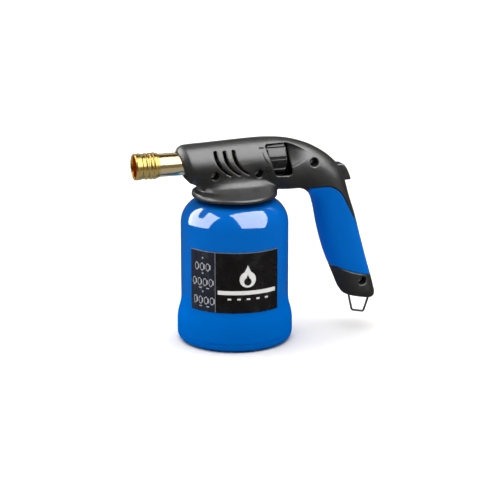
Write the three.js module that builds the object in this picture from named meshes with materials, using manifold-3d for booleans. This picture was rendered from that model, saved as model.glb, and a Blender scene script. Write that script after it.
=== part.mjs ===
// Hand-held gas torch on a canister that holds a pierceable gas cartridge.
// Millimetres, +Z up. The origin is the middle of the canister's foot, on the table.
// The burner points along -X, the handle hangs at +X, and the housing splits on the plane Y = 0.
import * as THREE from "three";
import { mergeVertices } from "three/addons/utils/BufferGeometryUtils.js";
import Module from "manifold-3d";

const wasm = await Module();
wasm.setup();

// Clearances between separate pieces
const gap = 0.3;
const seamGap = 0.1;
const overrun = 1;

// Canister: a drawn steel shell, flared at the bottom, that takes a cartridge 90 mm across
const canisterRadius = 46;
const canisterWall = 0.8;
const canisterTop = 124;
const shoulderRadius = 22;
const flareStep = 3.4;
const flareTop = 36;
const flareBottom = 22.5;
const skirtBottom = 8;

// Screw-on base with its coarse thread
const footRadius = 7;
const footFloor = 1.2;
const spigotWall = 0.8;
const spigotTop = 27;
const threadPitch = 8;
const threadTurns = 1.1;
const threadWidth = 2.4;
const threadStart = 11;
const insertWall = 2.5;
const insertSeatWidth = 18;

// Cartridge
const cartridgeClearance = 1.1;
const cartridgeHeight = 92;
const cartridgeWall = 0.7;
const cartridgeShoulder = 16;
const cartridgeFoot = 3;
const pierceClearance = 0.4;

// Label on the front of the canister
const labelThickness = 0.3;
const labelBottom = 34.5;
const labelTop = 87;
const labelHalfAngle = 51;
const labelFacing = -18.5;

// Valve block on the crown of the canister
const burnerRise = 32;
const spigotRadius = 8.7;
const spigotLength = 5.7;
const flangeRadius = 13;
const flangeHeight = 3.2;
const blockLength = 18;
const blockWidth = 19;
const blockAbove = 9;
const gasBore = 1.8;
const frontBossRadius = 6.5;
const frontBossLength = 5;
const rearBossRadius = 5.4;
const rearBossLength = 6;
const chamberRadius = 3.4;
const nutCircumradius = 13.5;
const nutHeight = 3.7;
const needleRadius = 1.5;
const needleInside = 5;
const needleReach = 6;
const needlePoint = 3;
const sealRadius = 7;
const sealThickness = 3.2;

// Gas line, mixer and burner
const jetPipeRadius = 3.2;
const jetPipeInMixer = 1;
const jetPipeBore = 1.9;
const jetHeadRadius = 2.8;
const jetHeadLength = 3.7;
const jetTailLength = 2.8;
const orificeRadius = 0.5;
const tubeRadius = 9.8;
const tubeWall = 0.7;
const tubeInside = 16.7;
const mixerLength = 8;
const mixerLip = 1.5;
const airHoles = 6;
const airHoleRadius = 1.9;
const airCircle = 5.9;
const burnerProud = 40;
const nozzleLength = 20.5;
const nozzleRadius = 11.2;
const nozzleBore = 9;
const nozzleSocket = 4;
const mouthRadius = 9.7;
const flameDiscThickness = 2.5;
const flameHoles = 8;
const flameHoleRadius = 1.3;
const flameCentreHole = 2.4;
const insulatorRadius = 1.6;
const insulatorLength = 32;
const insulatorTail = 5.3;
const electrodeRadius = 0.6;
const electrodeReach = 10;
const cableRadius = 1.2;

// Control knob and its valve stem
const knobRadius = 15.1;
const knobFront = 24.4;
const knobLength = 18;
const knobWall = 3;
const knobGrooves = 10;
const knobGrooveWidth = 1.8;
const knobGrooveDepth = 1.3;
const knobPhaseShare = 0.29;
const knobHubRadius = 5;
const stemRadius = 2;
const stemTipLength = 3;
const glandCircumradius = 5.3;
const glandLength = 4.5;
const oRingCord = 0.45;

// Housing: two moulded shells that form the barrel, the collar and the handle
const shellWall = 2.4;
const barrelReach = 48;
const kneeReach = 41;
const barrelRadius = 18;
const barrelHalfWidth = 17;
const collarRadius = 36.3;
const collarLift = 1.5;
const neckTopDrop = 6;
const brimDrop = 1.5;
const handleReach = 88;
const handleDrop = 134;
const handleHalfWidth = 17;

// Openings and marks in the shells
const ventWidth = 2.4;
const ventTailShare = 0.45;
const ventSpacing = 7.9;
const ventTopRise = 10.8;
const ventHeight = 21;
const ventLean = 12.3;
const ventFirst = -20.7;
const ventCurl = 2.5;
const windowHeight = 26.5;
const windowWidth = 17.8;
const windowTaper = 3.2;
const windowLean = 5.3;
const windowShift = 3;
const windowCorner = 3;
const scoopLength = 16.2;
const scoopHeight = 20.6;
const scoopTipHeight = 5;
const scoopRise = 3.4;
const scoopDepth = 4.2;
const scoopTipDepth = 0.6;
const scoopFloor = 1.8;

// Housing screws and the bosses that they pull together
const screwHeadRadius = 3.2;
const screwHeadHeight = 2.2;
const screwShankRadius = 1.55;
const screwLength = 14;
const screwSeatDepth = 3.4;
const counterboreRadius = 3.7;
const bossWall = 1.4;
const pilotWall = 2;

// Soft handle grips
const gripThickness = 2;

// Ignition button and piezo unit
const buttonHalfWidth = 5.6;
const buttonFlange = 1.3;
const buttonFlangeThickness = 2.4;
const buttonTravel = 5;
const piezoSize = 10;
const piezoLength = 25;
const piezoDrop = 17;
const plungerSize = 6.4;
const plungerLength = 14;
const ribThickness = 2;

// Hanging bail
const wireRadius = 0.9;
const bailTopHalf = 10.2;
const bailBottomHalf = 5.6;
const bailLength = 16.2;
const bailPin = 1.8;
const bailCorner = 2;
const bailSlotHalfWidth = 4.6;
const bailInset = 2.4;
const bailSkew = 2.7;
const bailTilt = 12;

// How finely round shapes are divided
const fineSides = 36;
const roundSides = 24;
const smallSides = 12;
const wireSides = 8;
const hexSides = 6;
const sidesPerGroove = 4;
const ringPoints = 20;
const innerPoints = 12;
const arcSteps = 5;
const bailSteps = 28;
const cableSteps = 28;
const mergeDistance = 1e-4;

const fullTurn = 2 * Math.PI;
const axisZ = canisterTop + burnerRise;
const flareRadius = canisterRadius + flareStep;
const cartridgeRadius = canisterRadius - cartridgeClearance;
const tubeBack = barrelReach - tubeInside;
const nozzleTip = barrelReach + burnerProud;
const collarBottom = canisterTop + collarLift;
const neckRise = axisZ - neckTopDrop - collarBottom;
const blockFront = -blockLength / 2;
const blockRear = blockLength / 2;
const Y = new THREE.Vector3(0, 1, 0);

// Turns a closed three.js geometry into a manifold solid.
function solid(geometry) {
  const bare = geometry.index ? geometry.toNonIndexed() : geometry.clone();
  bare.deleteAttribute("normal");
  bare.deleteAttribute("uv");
  const merged = mergeVertices(bare, mergeDistance);
  return new wasm.Manifold(
    new wasm.Mesh({
      numProp: 3,
      vertProperties: merged.attributes.position.array,
      triVerts: new Uint32Array(merged.index.array),
    }),
  );
}

// Turns a manifold solid into a named mesh with its own material.
function piece(name, body, colour, roughness, metalness) {
  const { vertProperties, triVerts, numProp, numVert } = body.getMesh();
  const positions = new Float32Array(numVert * 3);
  for (let i = 0; i < numVert; i++) {
    positions.set(vertProperties.subarray(i * numProp, i * numProp + 3), i * 3);
  }
  const geometry = new THREE.BufferGeometry();
  geometry.setAttribute("position", new THREE.BufferAttribute(positions, 3));
  geometry.setIndex(new THREE.BufferAttribute(triVerts, 1));
  const flat = geometry.toNonIndexed();
  flat.computeVertexNormals();
  const material = new THREE.MeshStandardMaterial({ color: colour, roughness, metalness });
  const mesh = new THREE.Mesh(flat, material);
  mesh.name = name;
  return mesh;
}

const union = (parts) => parts.reduce((whole, part) => whole.add(part));
const cut = (body, tools) => tools.reduce((whole, tool) => whole.subtract(tool), body);

function box(x0, x1, y0, y1, z0, z1) {
  const geometry = new THREE.BoxGeometry(x1 - x0, y1 - y0, z1 - z0);
  geometry.translate((x0 + x1) / 2, (y0 + y1) / 2, (z0 + z1) / 2);
  return solid(geometry);
}

// A profile of [radius, height] points, in order upwards on the outside, turned about Z.
function turned(profile, sides) {
  const points = profile.map(([r, z]) => new THREE.Vector2(r, z));
  const closed = [...points, points[0].clone()];
  const geometry = new THREE.LatheGeometry(closed, sides);
  geometry.rotateX(Math.PI / 2);
  return solid(geometry);
}

// The same about X, where a profile point is [radius, distance along +X from x], at a height z.
function turnedX(profile, sides, x = 0, z = axisZ) {
  return turned(profile, sides).rotate([0, 90, 0]).translate([x, 0, z]);
}

// A round bar or tube of one bore along X.
function barX(radius, x0, x1, sides, z = axisZ, y = 0) {
  const geometry = new THREE.CylinderGeometry(radius, radius, x1 - x0, sides);
  geometry.rotateZ(Math.PI / 2);
  geometry.translate((x0 + x1) / 2, y, z);
  return solid(geometry);
}

function barY(radius, y0, y1, sides, x, z) {
  const geometry = new THREE.CylinderGeometry(radius, radius, y1 - y0, sides);
  geometry.translate(x, (y0 + y1) / 2, z);
  return solid(geometry);
}

function barZ(radius, z0, z1, sides) {
  const geometry = new THREE.CylinderGeometry(radius, radius, z1 - z0, sides);
  geometry.rotateX(Math.PI / 2);
  geometry.translate(0, 0, (z0 + z1) / 2);
  return solid(geometry);
}

// An outline of [x, z] points pushed through the part from y0 to y1.
function slab(outline, y0, y1) {
  const shape = new THREE.Shape(outline.map(([x, z]) => new THREE.Vector2(x, z)));
  const geometry = new THREE.ExtrudeGeometry(shape, { depth: y1 - y0, bevelEnabled: false });
  geometry.rotateX(Math.PI / 2);
  geometry.translate(0, y1, 0);
  return solid(geometry);
}

// A tube along a curve.
function wire(curve, radius, sides, steps) {
  const section = new THREE.Shape();
  for (let i = 0; i < sides; i++) {
    const a = (i / sides) * fullTurn;
    const point = [radius * Math.cos(a), radius * Math.sin(a)];
    if (i === 0) section.moveTo(...point);
    else section.lineTo(...point);
  }
  section.closePath();
  const settings = { steps, extrudePath: curve, bevelEnabled: false };
  return solid(new THREE.ExtrudeGeometry(section, settings));
}

// Joins rings of equal point counts into one closed skin.
function loft(rings) {
  const count = rings[0].length;
  const positions = [];
  const push = (...points) => points.forEach((p) => positions.push(p.x, p.y, p.z));
  const middle = (ring) =>
    ring.reduce((sum, p) => sum.add(p), new THREE.Vector3()).divideScalar(count);
  for (let i = 0; i < count; i++) {
    const next = (i + 1) % count;
    for (let k = 0; k + 1 < rings.length; k++) {
      push(rings[k][i], rings[k][next], rings[k + 1][next]);
      push(rings[k][i], rings[k + 1][next], rings[k + 1][i]);
    }
    push(middle(rings[0]), rings[0][next], rings[0][i]);
    const last = rings[rings.length - 1];
    push(middle(last), last[i], last[next]);
  }
  const geometry = new THREE.BufferGeometry();
  geometry.setAttribute("position", new THREE.Float32BufferAttribute(positions, 3));
  return solid(geometry);
}

// A rounded-square ring about a centre, spanned by two half axes.
function ringAround(centre, halfUp, halfSide, squareness, count) {
  const bulge = (t) => Math.sign(t) * Math.abs(t) ** (2 / squareness);
  return Array.from({ length: count }, (_, i) => {
    const a = (i / count) * fullTurn;
    return centre
      .clone()
      .addScaledVector(halfSide, bulge(Math.cos(a)))
      .addScaledVector(halfUp, bulge(Math.sin(a)));
  });
}

const arc = (cx, cz, radius, from, to) =>
  Array.from({ length: arcSteps + 1 }, (_, i) => {
    const a = THREE.MathUtils.degToRad(from + ((to - from) * i) / arcSteps);
    return [cx + radius * Math.cos(a), cz + radius * Math.sin(a)];
  });

// A screw-thread ridge of square section that climbs round Z.
function ridge(innerRadius, outerRadius, startZ) {
  const steps = Math.round(fineSides * threadTurns);
  const rings = Array.from({ length: steps + 1 }, (_, i) => {
    const turn = (i / steps) * threadTurns;
    const a = turn * fullTurn;
    const low = startZ + turn * threadPitch - threadWidth / 2;
    const at = (r, z) => new THREE.Vector3(r * Math.cos(a), r * Math.sin(a), z);
    return [
      at(innerRadius, low),
      at(innerRadius, low + threadWidth),
      at(outerRadius, low + threadWidth),
      at(outerRadius, low),
    ];
  });
  return loft(rings);
}

// Canister shell: dome, straight wall, flare and skirt, with the thread rolled inwards
const skirtInner = flareRadius - canisterWall;
const baseSpigotOuter = canisterRadius + gap;
const ridgeClear = baseSpigotOuter + gap;
function canisterWallProfile(inset) {
  const r = canisterRadius - inset;
  const flare = Array.from({ length: arcSteps + 1 }, (_, i) => {
    const t = i / arcSteps;
    const swell = (1 + Math.cos(Math.PI * t)) / 2;
    return [r + (flareRadius - canisterRadius) * swell, flareBottom + (flareTop - flareBottom) * t];
  });
  const shoulderX = canisterRadius - shoulderRadius;
  const shoulderZ = canisterTop - shoulderRadius;
  return [
    [flareRadius - inset, skirtBottom],
    ...flare,
    ...arc(shoulderX, shoulderZ, shoulderRadius - inset, 0, 90),
  ];
}
function makeCanister() {
  const outside = [...canisterWallProfile(0), [spigotRadius + gap, canisterTop]];
  const inside = [
    ...canisterWallProfile(canisterWall),
    [spigotRadius + gap, canisterTop - canisterWall],
  ];
  const shell = turned([...outside, ...inside.reverse()], fineSides);
  return shell.add(ridge(ridgeClear, skirtInner + canisterWall / 2, threadStart));
}

// Base: a cup whose threaded spigot goes up inside the skirt
function makeBase() {
  const inner = baseSpigotOuter - spigotWall;
  const foot = arc(flareRadius - footRadius, footRadius, footRadius, -90, 0);
  const rim = skirtBottom - gap;
  const cup = turned(
    [
      [0, 0],
      ...foot,
      [flareRadius, rim],
      [baseSpigotOuter, rim],
      [baseSpigotOuter, spigotTop],
      [inner, spigotTop],
      [inner, footFloor + footRadius / 2],
      [inner - footRadius / 2, footFloor],
      [0, footFloor],
    ],
    fineSides,
  );
  const reach = skirtInner - gap;
  const climb = threadStart + threadWidth + gap;
  return cup.add(ridge(baseSpigotOuter - spigotWall / 2, reach, climb));
}

// Cartridge: a thin can that the needle has pierced
const sealTop = canisterTop + gap - spigotLength - gap;
const cartridgeTop = sealTop - sealThickness - gap;
const cartridgeBottom = cartridgeTop - cartridgeHeight;
function cartridgeProfile(inset) {
  const shoulderX = cartridgeRadius - cartridgeShoulder;
  const shoulderZ = cartridgeTop - cartridgeShoulder;
  return [
    [cartridgeRadius - cartridgeFoot, cartridgeBottom + inset],
    [cartridgeRadius - inset, cartridgeBottom + cartridgeFoot],
    ...arc(shoulderX, shoulderZ, cartridgeShoulder - inset, 0, 90),
  ];
}
function makeCartridge() {
  const can = turned([[0, cartridgeBottom], ...cartridgeProfile(0), [0, cartridgeTop]], fineSides);
  const hollow = turned(
    [
      [0, cartridgeBottom + cartridgeWall],
      ...cartridgeProfile(cartridgeWall),
      [0, cartridgeTop - cartridgeWall],
    ],
    roundSides,
  );
  const pierced = needleRadius + pierceClearance;
  const hole = barZ(pierced, cartridgeTop - overrun - cartridgeWall, cartridgeTop + overrun, wireSides);
  return cut(can, [hollow, hole]);
}

// Seat: a moulded ring in the base that the cartridge stands on
function makeBaseInsert() {
  const outer = baseSpigotOuter - spigotWall - gap;
  const bottom = footFloor + gap;
  const top = cartridgeBottom - gap;
  const shy = footRadius / 2;
  return turned(
    [
      [outer - shy, bottom],
      [outer, bottom + shy],
      [outer, top],
      [outer - insertSeatWidth, top],
      [outer - insertSeatWidth, top - insertWall],
      [outer - shy - insertWall, top - insertWall],
      [outer - shy - insertWall, bottom],
    ],
    roundSides,
  );
}

// Label: a printed sheet wrapped round the front of the canister
function makeLabel() {
  const inner = canisterRadius + gap;
  const outer = inner + labelThickness;
  const sheet = turned(
    [
      [outer, labelBottom],
      [outer, labelTop],
      [inner, labelTop],
      [inner, labelBottom],
    ],
    2 * fineSides,
  );
  const half = THREE.MathUtils.degToRad(labelHalfAngle);
  const far = 2 * (outer + overrun);
  const facing = -Math.PI / 2 + THREE.MathUtils.degToRad(labelFacing);
  const edges = [-half, 0, half].map((a) => {
    return new THREE.Vector2(far * Math.cos(facing + a), far * Math.sin(facing + a));
  });
  const wedge = [new THREE.Vector2(), ...edges];
  const height = labelTop - labelBottom + 2 * overrun;
  const geometry = new THREE.ExtrudeGeometry(new THREE.Shape(wedge), {
    depth: height,
    bevelEnabled: false,
  });
  geometry.translate(0, 0, labelBottom - overrun);
  return sheet.intersect(solid(geometry));
}

// Valve block: spigot through the crown, flange on the crown, block on the burner's axis
const blockBottom = canisterTop + gap;
function makeValveBody() {
  const half = blockWidth / 2;
  const top = axisZ + blockAbove;
  const spigotBottom = blockBottom - spigotLength;
  const solids = [
    barZ(spigotRadius, spigotBottom, blockBottom + flangeHeight / 2, roundSides),
    barZ(flangeRadius, blockBottom, blockBottom + flangeHeight, roundSides),
    box(blockFront, blockRear, -half, half, blockBottom + flangeHeight / 2, top),
    barX(frontBossRadius, blockFront - frontBossLength, 0, roundSides),
    barX(rearBossRadius, 0, blockRear + rearBossLength, roundSides),
  ];
  const holes = [
    barZ(gasBore, spigotBottom - overrun, axisZ, smallSides),
    barX(chamberRadius, 0, blockRear + rearBossLength + overrun, smallSides),
    barX(gasBore, blockFront - frontBossLength, gasBore, smallSides),
    barX(jetPipeRadius + gap, blockFront - frontBossLength - overrun, blockFront - gap, smallSides),
  ];
  return cut(union(solids), holes);
}

function makeClampNut() {
  const top = canisterTop - canisterWall - gap;
  const bottom = top - nutHeight;
  const hex = barZ(nutCircumradius, bottom, top, hexSides);
  return hex.subtract(barZ(spigotRadius + gap, bottom - overrun, top + overrun, roundSides));
}

function makeNeedle() {
  const bottom = cartridgeTop - needleReach;
  return turned(
    [
      [0, bottom],
      [needleRadius, bottom + needlePoint],
      [needleRadius, sealTop + needleInside],
      [0, sealTop + needleInside],
    ],
    smallSides,
  );
}

function makeSeal() {
  const ring = barZ(sealRadius, sealTop - sealThickness, sealTop, roundSides);
  const hole = barZ(needleRadius + pierceClearance, 0, canisterTop, smallSides);
  return ring.subtract(hole);
}

// Jet pipe, jet and mixer: the gas line that feeds the burner tube
const jetPipeFront = -tubeBack - jetPipeInMixer;
function makeJetPipe() {
  const pipe = barX(jetPipeRadius, jetPipeFront, blockFront - 2 * gap, smallSides);
  return pipe.subtract(barX(jetPipeBore, jetPipeFront - overrun, 0, smallSides));
}

const jetSeat = jetPipeFront - gap;
function makeJet() {
  const tail = jetPipeBore - gap;
  const body = turnedX(
    [
      [0, -jetHeadLength],
      [jetHeadRadius / 2, -jetHeadLength],
      [jetHeadRadius, -jetHeadLength / 2],
      [jetHeadRadius, 0],
      [tail, 0],
      [tail, jetTailLength],
      [0, jetTailLength],
    ],
    smallSides,
    jetSeat,
  );
  const through = [jetSeat - jetHeadLength - overrun, jetSeat + jetTailLength + overrun];
  return body.subtract(barX(orificeRadius, ...through, hexSides));
}

const tubeBore = tubeRadius - tubeWall;
function makeMixer() {
  const back = -tubeBack + gap;
  const disc = barX(tubeBore - gap, back - mixerLength, back, roundSides);
  const lip = barX(tubeRadius, back, back + mixerLip, roundSides);
  const holes = Array.from({ length: airHoles }, (_, i) => {
    const a = (i / airHoles) * fullTurn;
    const z = axisZ + airCircle * Math.cos(a);
    const through = [back - mixerLength - overrun, back + mixerLip + overrun];
    return barX(airHoleRadius, ...through, smallSides, z, airCircle * Math.sin(a));
  });
  const bore = barX(jetPipeRadius + gap, -nozzleTip, 0, smallSides);
  return cut(disc.add(lip), [bore, ...holes]);
}

// Burner tube and nozzle head
const nozzleBack = -nozzleTip + nozzleLength;
const tubeFront = nozzleBack - nozzleSocket + gap;
function makeBurnerTube() {
  const outside = barX(tubeRadius, tubeFront, -tubeBack, roundSides);
  return outside.subtract(barX(tubeBore, tubeFront - overrun, -tubeBack + overrun, roundSides));
}

// Nozzle outline, front to back: each row is the share of the head's length and of its radius.
const nozzleShares = [
  [0, 0.935],
  [0.05, 1],
  [0.25, 1],
  [0.3, 0.945],
  [0.42, 0.945],
  [0.46, 0.99],
  [0.52, 0.99],
  [0.56, 0.945],
  [0.61, 0.945],
  [0.65, 1],
  [0.71, 1],
  [0.75, 0.95],
  [0.79, 1],
  [0.89, 1],
  [0.9, 0.93],
  [1, 0.93],
];
function makeNozzle() {
  const outside = nozzleShares.map(([along, radius]) => [
    radius * nozzleRadius,
    along * nozzleLength,
  ]);
  const socket = tubeRadius + gap;
  const inside = [
    [socket, nozzleLength],
    [socket, nozzleLength - nozzleSocket],
    [nozzleBore, nozzleLength - nozzleSocket],
    [nozzleBore, nozzleRadius - mouthRadius],
    [mouthRadius, 0],
  ];
  return turnedX([...outside, ...inside], roundSides, -nozzleTip);
}

function makeFlameDisc() {
  const back = nozzleBack - nozzleSocket - gap;
  const disc = barX(nozzleBore - gap, back - flameDiscThickness, back, roundSides);
  const through = [back - flameDiscThickness - overrun, back + overrun];
  const circle = (nozzleBore + flameCentreHole) / 2;
  const holes = Array.from({ length: flameHoles }, (_, i) => {
    const a = (i / flameHoles) * fullTurn;
    const [y, z] = [circle * Math.sin(a), axisZ + circle * Math.cos(a)];
    return barX(flameHoleRadius, ...through, hexSides, z, y);
  });
  return cut(disc, [barX(flameCentreHole, ...through, smallSides), ...holes]);
}

// Spark electrode in its ceramic sleeve, held in the mixer's top air hole
const electrodeZ = axisZ + airCircle;
const insulatorBack = tubeBack - insulatorTail;
const insulatorFront = -insulatorBack - insulatorLength;
function makeInsulator() {
  const sleeve = barX(insulatorRadius, insulatorFront, -insulatorBack, smallSides, electrodeZ);
  const through = [insulatorFront - overrun, -insulatorBack + overrun];
  return sleeve.subtract(barX(electrodeRadius + gap, ...through, wireSides, electrodeZ));
}

function makeElectrode() {
  const back = -insulatorBack - overrun;
  return barX(electrodeRadius, insulatorFront - electrodeReach, back, wireSides, electrodeZ);
}

// Knob, stem, gland nut and O-ring: the gas control on the burner's axis
function makeKnob() {
  const rim = knobRadius - knobGrooveDepth;
  const chamfer = knobGrooveDepth;
  const back = knobFront + knobLength;
  const body = turnedX(
    [
      [0, 0],
      [rim, 0],
      [knobRadius, chamfer],
      [knobRadius, knobLength - chamfer],
      [rim, knobLength],
      [rim - knobWall, knobLength],
      [rim - knobWall, knobWall],
      [knobHubRadius, knobWall],
      [knobHubRadius, knobLength - chamfer],
      [0, knobLength - chamfer],
    ],
    sidesPerGroove * knobGrooves,
    knobFront,
  );
  const grooves = Array.from({ length: knobGrooves }, (_, i) => {
    const a = ((i + knobPhaseShare) / knobGrooves) * 360;
    const half = knobGrooveWidth / 2;
    const slot = box(knobFront - overrun, back + overrun, -half, half, rim, knobRadius + overrun);
    return slot.rotate([a, 0, 0]).translate([0, 0, axisZ]);
  });
  const bore = barX(stemRadius + gap, knobFront - overrun, back - knobWall, smallSides);
  return cut(body, [bore, ...grooves]);
}

function makeStem() {
  const end = knobFront + knobLength - knobWall - gap;
  const tip = gasBore + gap;
  return turnedX(
    [
      [0, 0],
      [stemRadius, stemTipLength],
      [stemRadius, end - tip],
      [0, end - tip],
    ],
    smallSides,
    tip,
  );
}

const rearFace = blockRear + rearBossLength;
function makeGlandNut() {
  const end = rearFace + gap + glandLength;
  const hex = barX(glandCircumradius, rearFace + gap, end, hexSides);
  const sleeve = barX(chamberRadius - gap, rearFace - glandLength / 2, end - gap, smallSides);
  return hex.add(sleeve).subtract(barX(stemRadius + gap, 0, knobFront, smallSides));
}

function makeORing() {
  const middle = stemRadius + gap + oRingCord;
  const geometry = new THREE.TorusGeometry(middle, oRingCord, hexSides, smallSides);
  geometry.rotateY(Math.PI / 2);
  geometry.translate(blockRear, 0, axisZ);
  return solid(geometry);
}

// Housing outline. A barrel row gives the underside point and the top point, each as the share
// of the way from the mouth to the knee and the share of the barrel's radius below or above the
// burner's axis, then the share of the barrel's half width.
const barrelShares = [
  [0.034, 0.578, -0.034, 0.572, 0.64],
  [0.049, 0.722, -0.022, 0.717, 0.74],
  [0.079, 0.872, 0.011, 0.845, 0.865],
  [0.119, 0.967, 0.067, 0.9, 0.94],
  [0.292, 0.978, 0.27, 0.935, 0.955],
  [0.539, 1, 0.539, 0.99, 0.97],
  [0.775, 1.056, 0.775, 1.022, 0.985],
  [0.876, 1.333, 0.876, 1.006, 0.99],
  [0.966, 1.533, 0.966, 0.972, 0.99],
];
// A handle row gives the same two points as shares of the handle's reach from the knee and of
// its drop from the burner's axis, then the share of the handle's half width.
const handleShares = [
  [0.045, -0.21, 0.068, 0.119, 0.99],
  [0.125, -0.211, 0.182, 0.099, 0.985],
  [0.182, -0.212, 0.307, 0.067, 0.98],
  [0.233, -0.222, 0.443, 0.015, 0.975],
  [0.27, -0.239, 0.545, -0.043, 0.965],
  [0.303, -0.26, 0.605, -0.093, 0.955],
  [0.325, -0.287, 0.643, -0.149, 0.94],
  [0.34, -0.321, 0.669, -0.205, 0.93],
  [0.357, -0.373, 0.7, -0.276, 0.915],
  [0.379, -0.451, 0.757, -0.388, 0.9],
  [0.41, -0.537, 0.797, -0.481, 0.89],
  [0.446, -0.619, 0.834, -0.571, 0.885],
  [0.487, -0.694, 0.87, -0.657, 0.88],
  [0.53, -0.761, 0.904, -0.735, 0.87],
  [0.573, -0.828, 0.939, -0.813, 0.86],
  [0.614, -0.892, 0.973, -0.896, 0.84],
  [0.639, -0.919, 0.988, -0.937, 0.8],
  [0.66, -0.939, 0.986, -0.966, 0.68],
  [0.686, -0.951, 0.962, -0.988, 0.45],
];
const barrelSquareness = 2.05;
const handleSquareness = 2.35;

const alongBarrel = (share) => -barrelReach + share * (barrelReach + kneeReach);
const inHandle = ([x, z]) => [kneeReach + x * handleReach, axisZ + z * handleDrop];

function barrelRow([lowAlong, down, highAlong, up, wide]) {
  return {
    low: new THREE.Vector2(alongBarrel(lowAlong), axisZ - down * barrelRadius),
    high: new THREE.Vector2(alongBarrel(highAlong), axisZ + up * barrelRadius),
    wide: wide * barrelHalfWidth,
    squareness: barrelSquareness,
  };
}
function handleRow([lowX, lowZ, highX, highZ, wide]) {
  return {
    low: new THREE.Vector2(...inHandle([lowX, lowZ])),
    high: new THREE.Vector2(...inHandle([highX, highZ])),
    wide: wide * handleHalfWidth,
    squareness: handleSquareness,
  };
}
const housingRows = [...barrelShares.map(barrelRow), ...handleShares.map(handleRow)];

// The ring of one housing row, drawn in by an inset all round.
function housingRing(row, inset, count) {
  const span = row.high.clone().sub(row.low);
  const half = Math.max(span.length() / 2 - inset, gap);
  const along = span.normalize();
  const middle = row.low.clone().add(row.high).divideScalar(2);
  const centre = new THREE.Vector3(middle.x, 0, middle.y);
  const down = new THREE.Vector3(-along.x, 0, -along.y).multiplyScalar(half);
  const side = Y.clone().multiplyScalar(Math.max(row.wide - inset, gap));
  return ringAround(centre, side, down, row.squareness, count);
}
const housingSkin = (inset) => loft(housingRows.map((row) => housingRing(row, inset, ringPoints)));

// Collar and neck, from the rim up into the barrel: each row is the share of the rise, then the
// shares of the collar's radius forwards, backwards and sideways.
const neckShares = [
  [0, 0.975, 0.975, 0.975],
  [0.03, 1, 1, 1],
  [0.1, 1, 1, 1],
  [0.14, 1, 1.005, 0.975],
  [0.21, 0.985, 1.014, 0.865],
  [0.28, 0.87, 1.024, 0.76],
  [0.355, 0.895, 1.045, 0.65],
  [0.41, 0.925, 1.058, 0.585],
  [0.47, 0.965, 1.06, 0.54],
  [0.55, 1.03, 1.04, 0.5],
  [0.63, 1.06, 1, 0.48],
  [0.72, 1.08, 1, 0.472],
  [0.84, 1.06, 1, 0.465],
  [1, 1, 0.95, 0.46],
];
function neckRing([rise, front, rear, side], inset, count) {
  const z = collarBottom + rise * neckRise;
  return Array.from({ length: count }, (_, i) => {
    const a = (i / count) * fullTurn;
    const reach = Math.cos(a) < 0 ? front : rear;
    const x = Math.cos(a) * (reach * collarRadius - inset);
    const y = Math.sin(a) * (side * collarRadius - inset);
    return new THREE.Vector3(x, y, z);
  });
}
function neckSkin(inset, count) {
  return neckShares.map((row) => neckRing(row, inset, count));
}

const housingOutside = housingSkin(0).add(loft(neckSkin(0, 2 * ringPoints)));

// The hollow inside the shells. It keeps a thicker wall under the soft grips, and it is open
// downwards at the collar, where it lies lower so that the sloping brim keeps its wall.
const mouthRows = 3;
const heelRows = 3;
const handleWall = shellWall + gripThickness;
function housingHollow() {
  const wallAt = (i) => {
    const t = (i - barrelShares.length) / arcSteps;
    return THREE.MathUtils.lerp(shellWall, handleWall, THREE.MathUtils.clamp(t, 0, 1));
  };
  const rings = housingRows.map((row, i) => housingRing(row, wallAt(i), innerPoints));
  const lowered = (ring) => ring.map((p) => p.clone().setZ(p.z - brimDrop));
  const neck = neckSkin(shellWall, 2 * innerPoints).map(lowered);
  const mouth = neck[0].map((p) => p.clone().setZ(p.z - overrun));
  return loft(rings.slice(mouthRows, -heelRows)).add(loft([mouth, ...neck]));
}

// Knob window, its scooped thumb recess, and the air vents, cut alike on both sides
const sideReach = barrelHalfWidth + overrun;
const windowCentre = knobFront + knobLength / 2 + windowShift;
function windowTool() {
  const topHalf = (windowWidth + windowTaper) / 2;
  const bottomHalf = (windowWidth - windowTaper) / 2;
  const topMiddle = windowCentre - windowLean / 2;
  const bottomMiddle = windowCentre + windowLean / 2;
  const top = axisZ + windowHeight / 2;
  const bottom = axisZ - windowHeight / 2;
  const corner = windowCorner;
  const outline = [
    [topMiddle - topHalf + corner / 3, top],
    [topMiddle + topHalf - corner, top],
    [topMiddle + topHalf, top - corner],
    [bottomMiddle + bottomHalf, bottom + corner],
    [bottomMiddle + bottomHalf - corner, bottom],
    [bottomMiddle - bottomHalf + corner, bottom],
    [bottomMiddle - bottomHalf, bottom + corner],
    [topMiddle - topHalf, top - corner / 3],
  ];
  return slab(outline.reverse(), -2 * sideReach, 2 * sideReach);
}

// A wedge that is deepest beside the window and runs out at its tip.
function scoopTool(thicken) {
  const start = windowCentre + windowWidth / 2 - windowCorner;
  const half = scoopHeight / 2 + thicken;
  const tipHalf = scoopTipHeight / 2 + thicken;
  const middle = axisZ + scoopRise;
  const tip = start + windowCorner + scoopLength + thicken;
  const floorAtStart = barrelHalfWidth - scoopDepth - thicken;
  const floorAtTip = barrelHalfWidth - scoopTipDepth - thicken;
  const far = sideReach + overrun;
  const corner = (x, y, z) => new THREE.Vector3(x, y, z);
  const mirrorRings = (sign) => [
    [
      corner(start - thicken, sign * floorAtStart, middle - half),
      corner(start - thicken, sign * floorAtStart, middle + half),
      corner(start - thicken, sign * far, middle + half),
      corner(start - thicken, sign * far, middle - half),
    ],
    [
      corner(tip, sign * floorAtTip, middle - tipHalf),
      corner(tip, sign * floorAtTip, middle + tipHalf),
      corner(tip, sign * far, middle + tipHalf),
      corner(tip, sign * far, middle - tipHalf),
    ],
  ];
  const turn = (rings) => rings.map((ring) => [...ring].reverse());
  return loft(mirrorRings(-1)).add(loft(turn(mirrorRings(1))));
}

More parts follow.
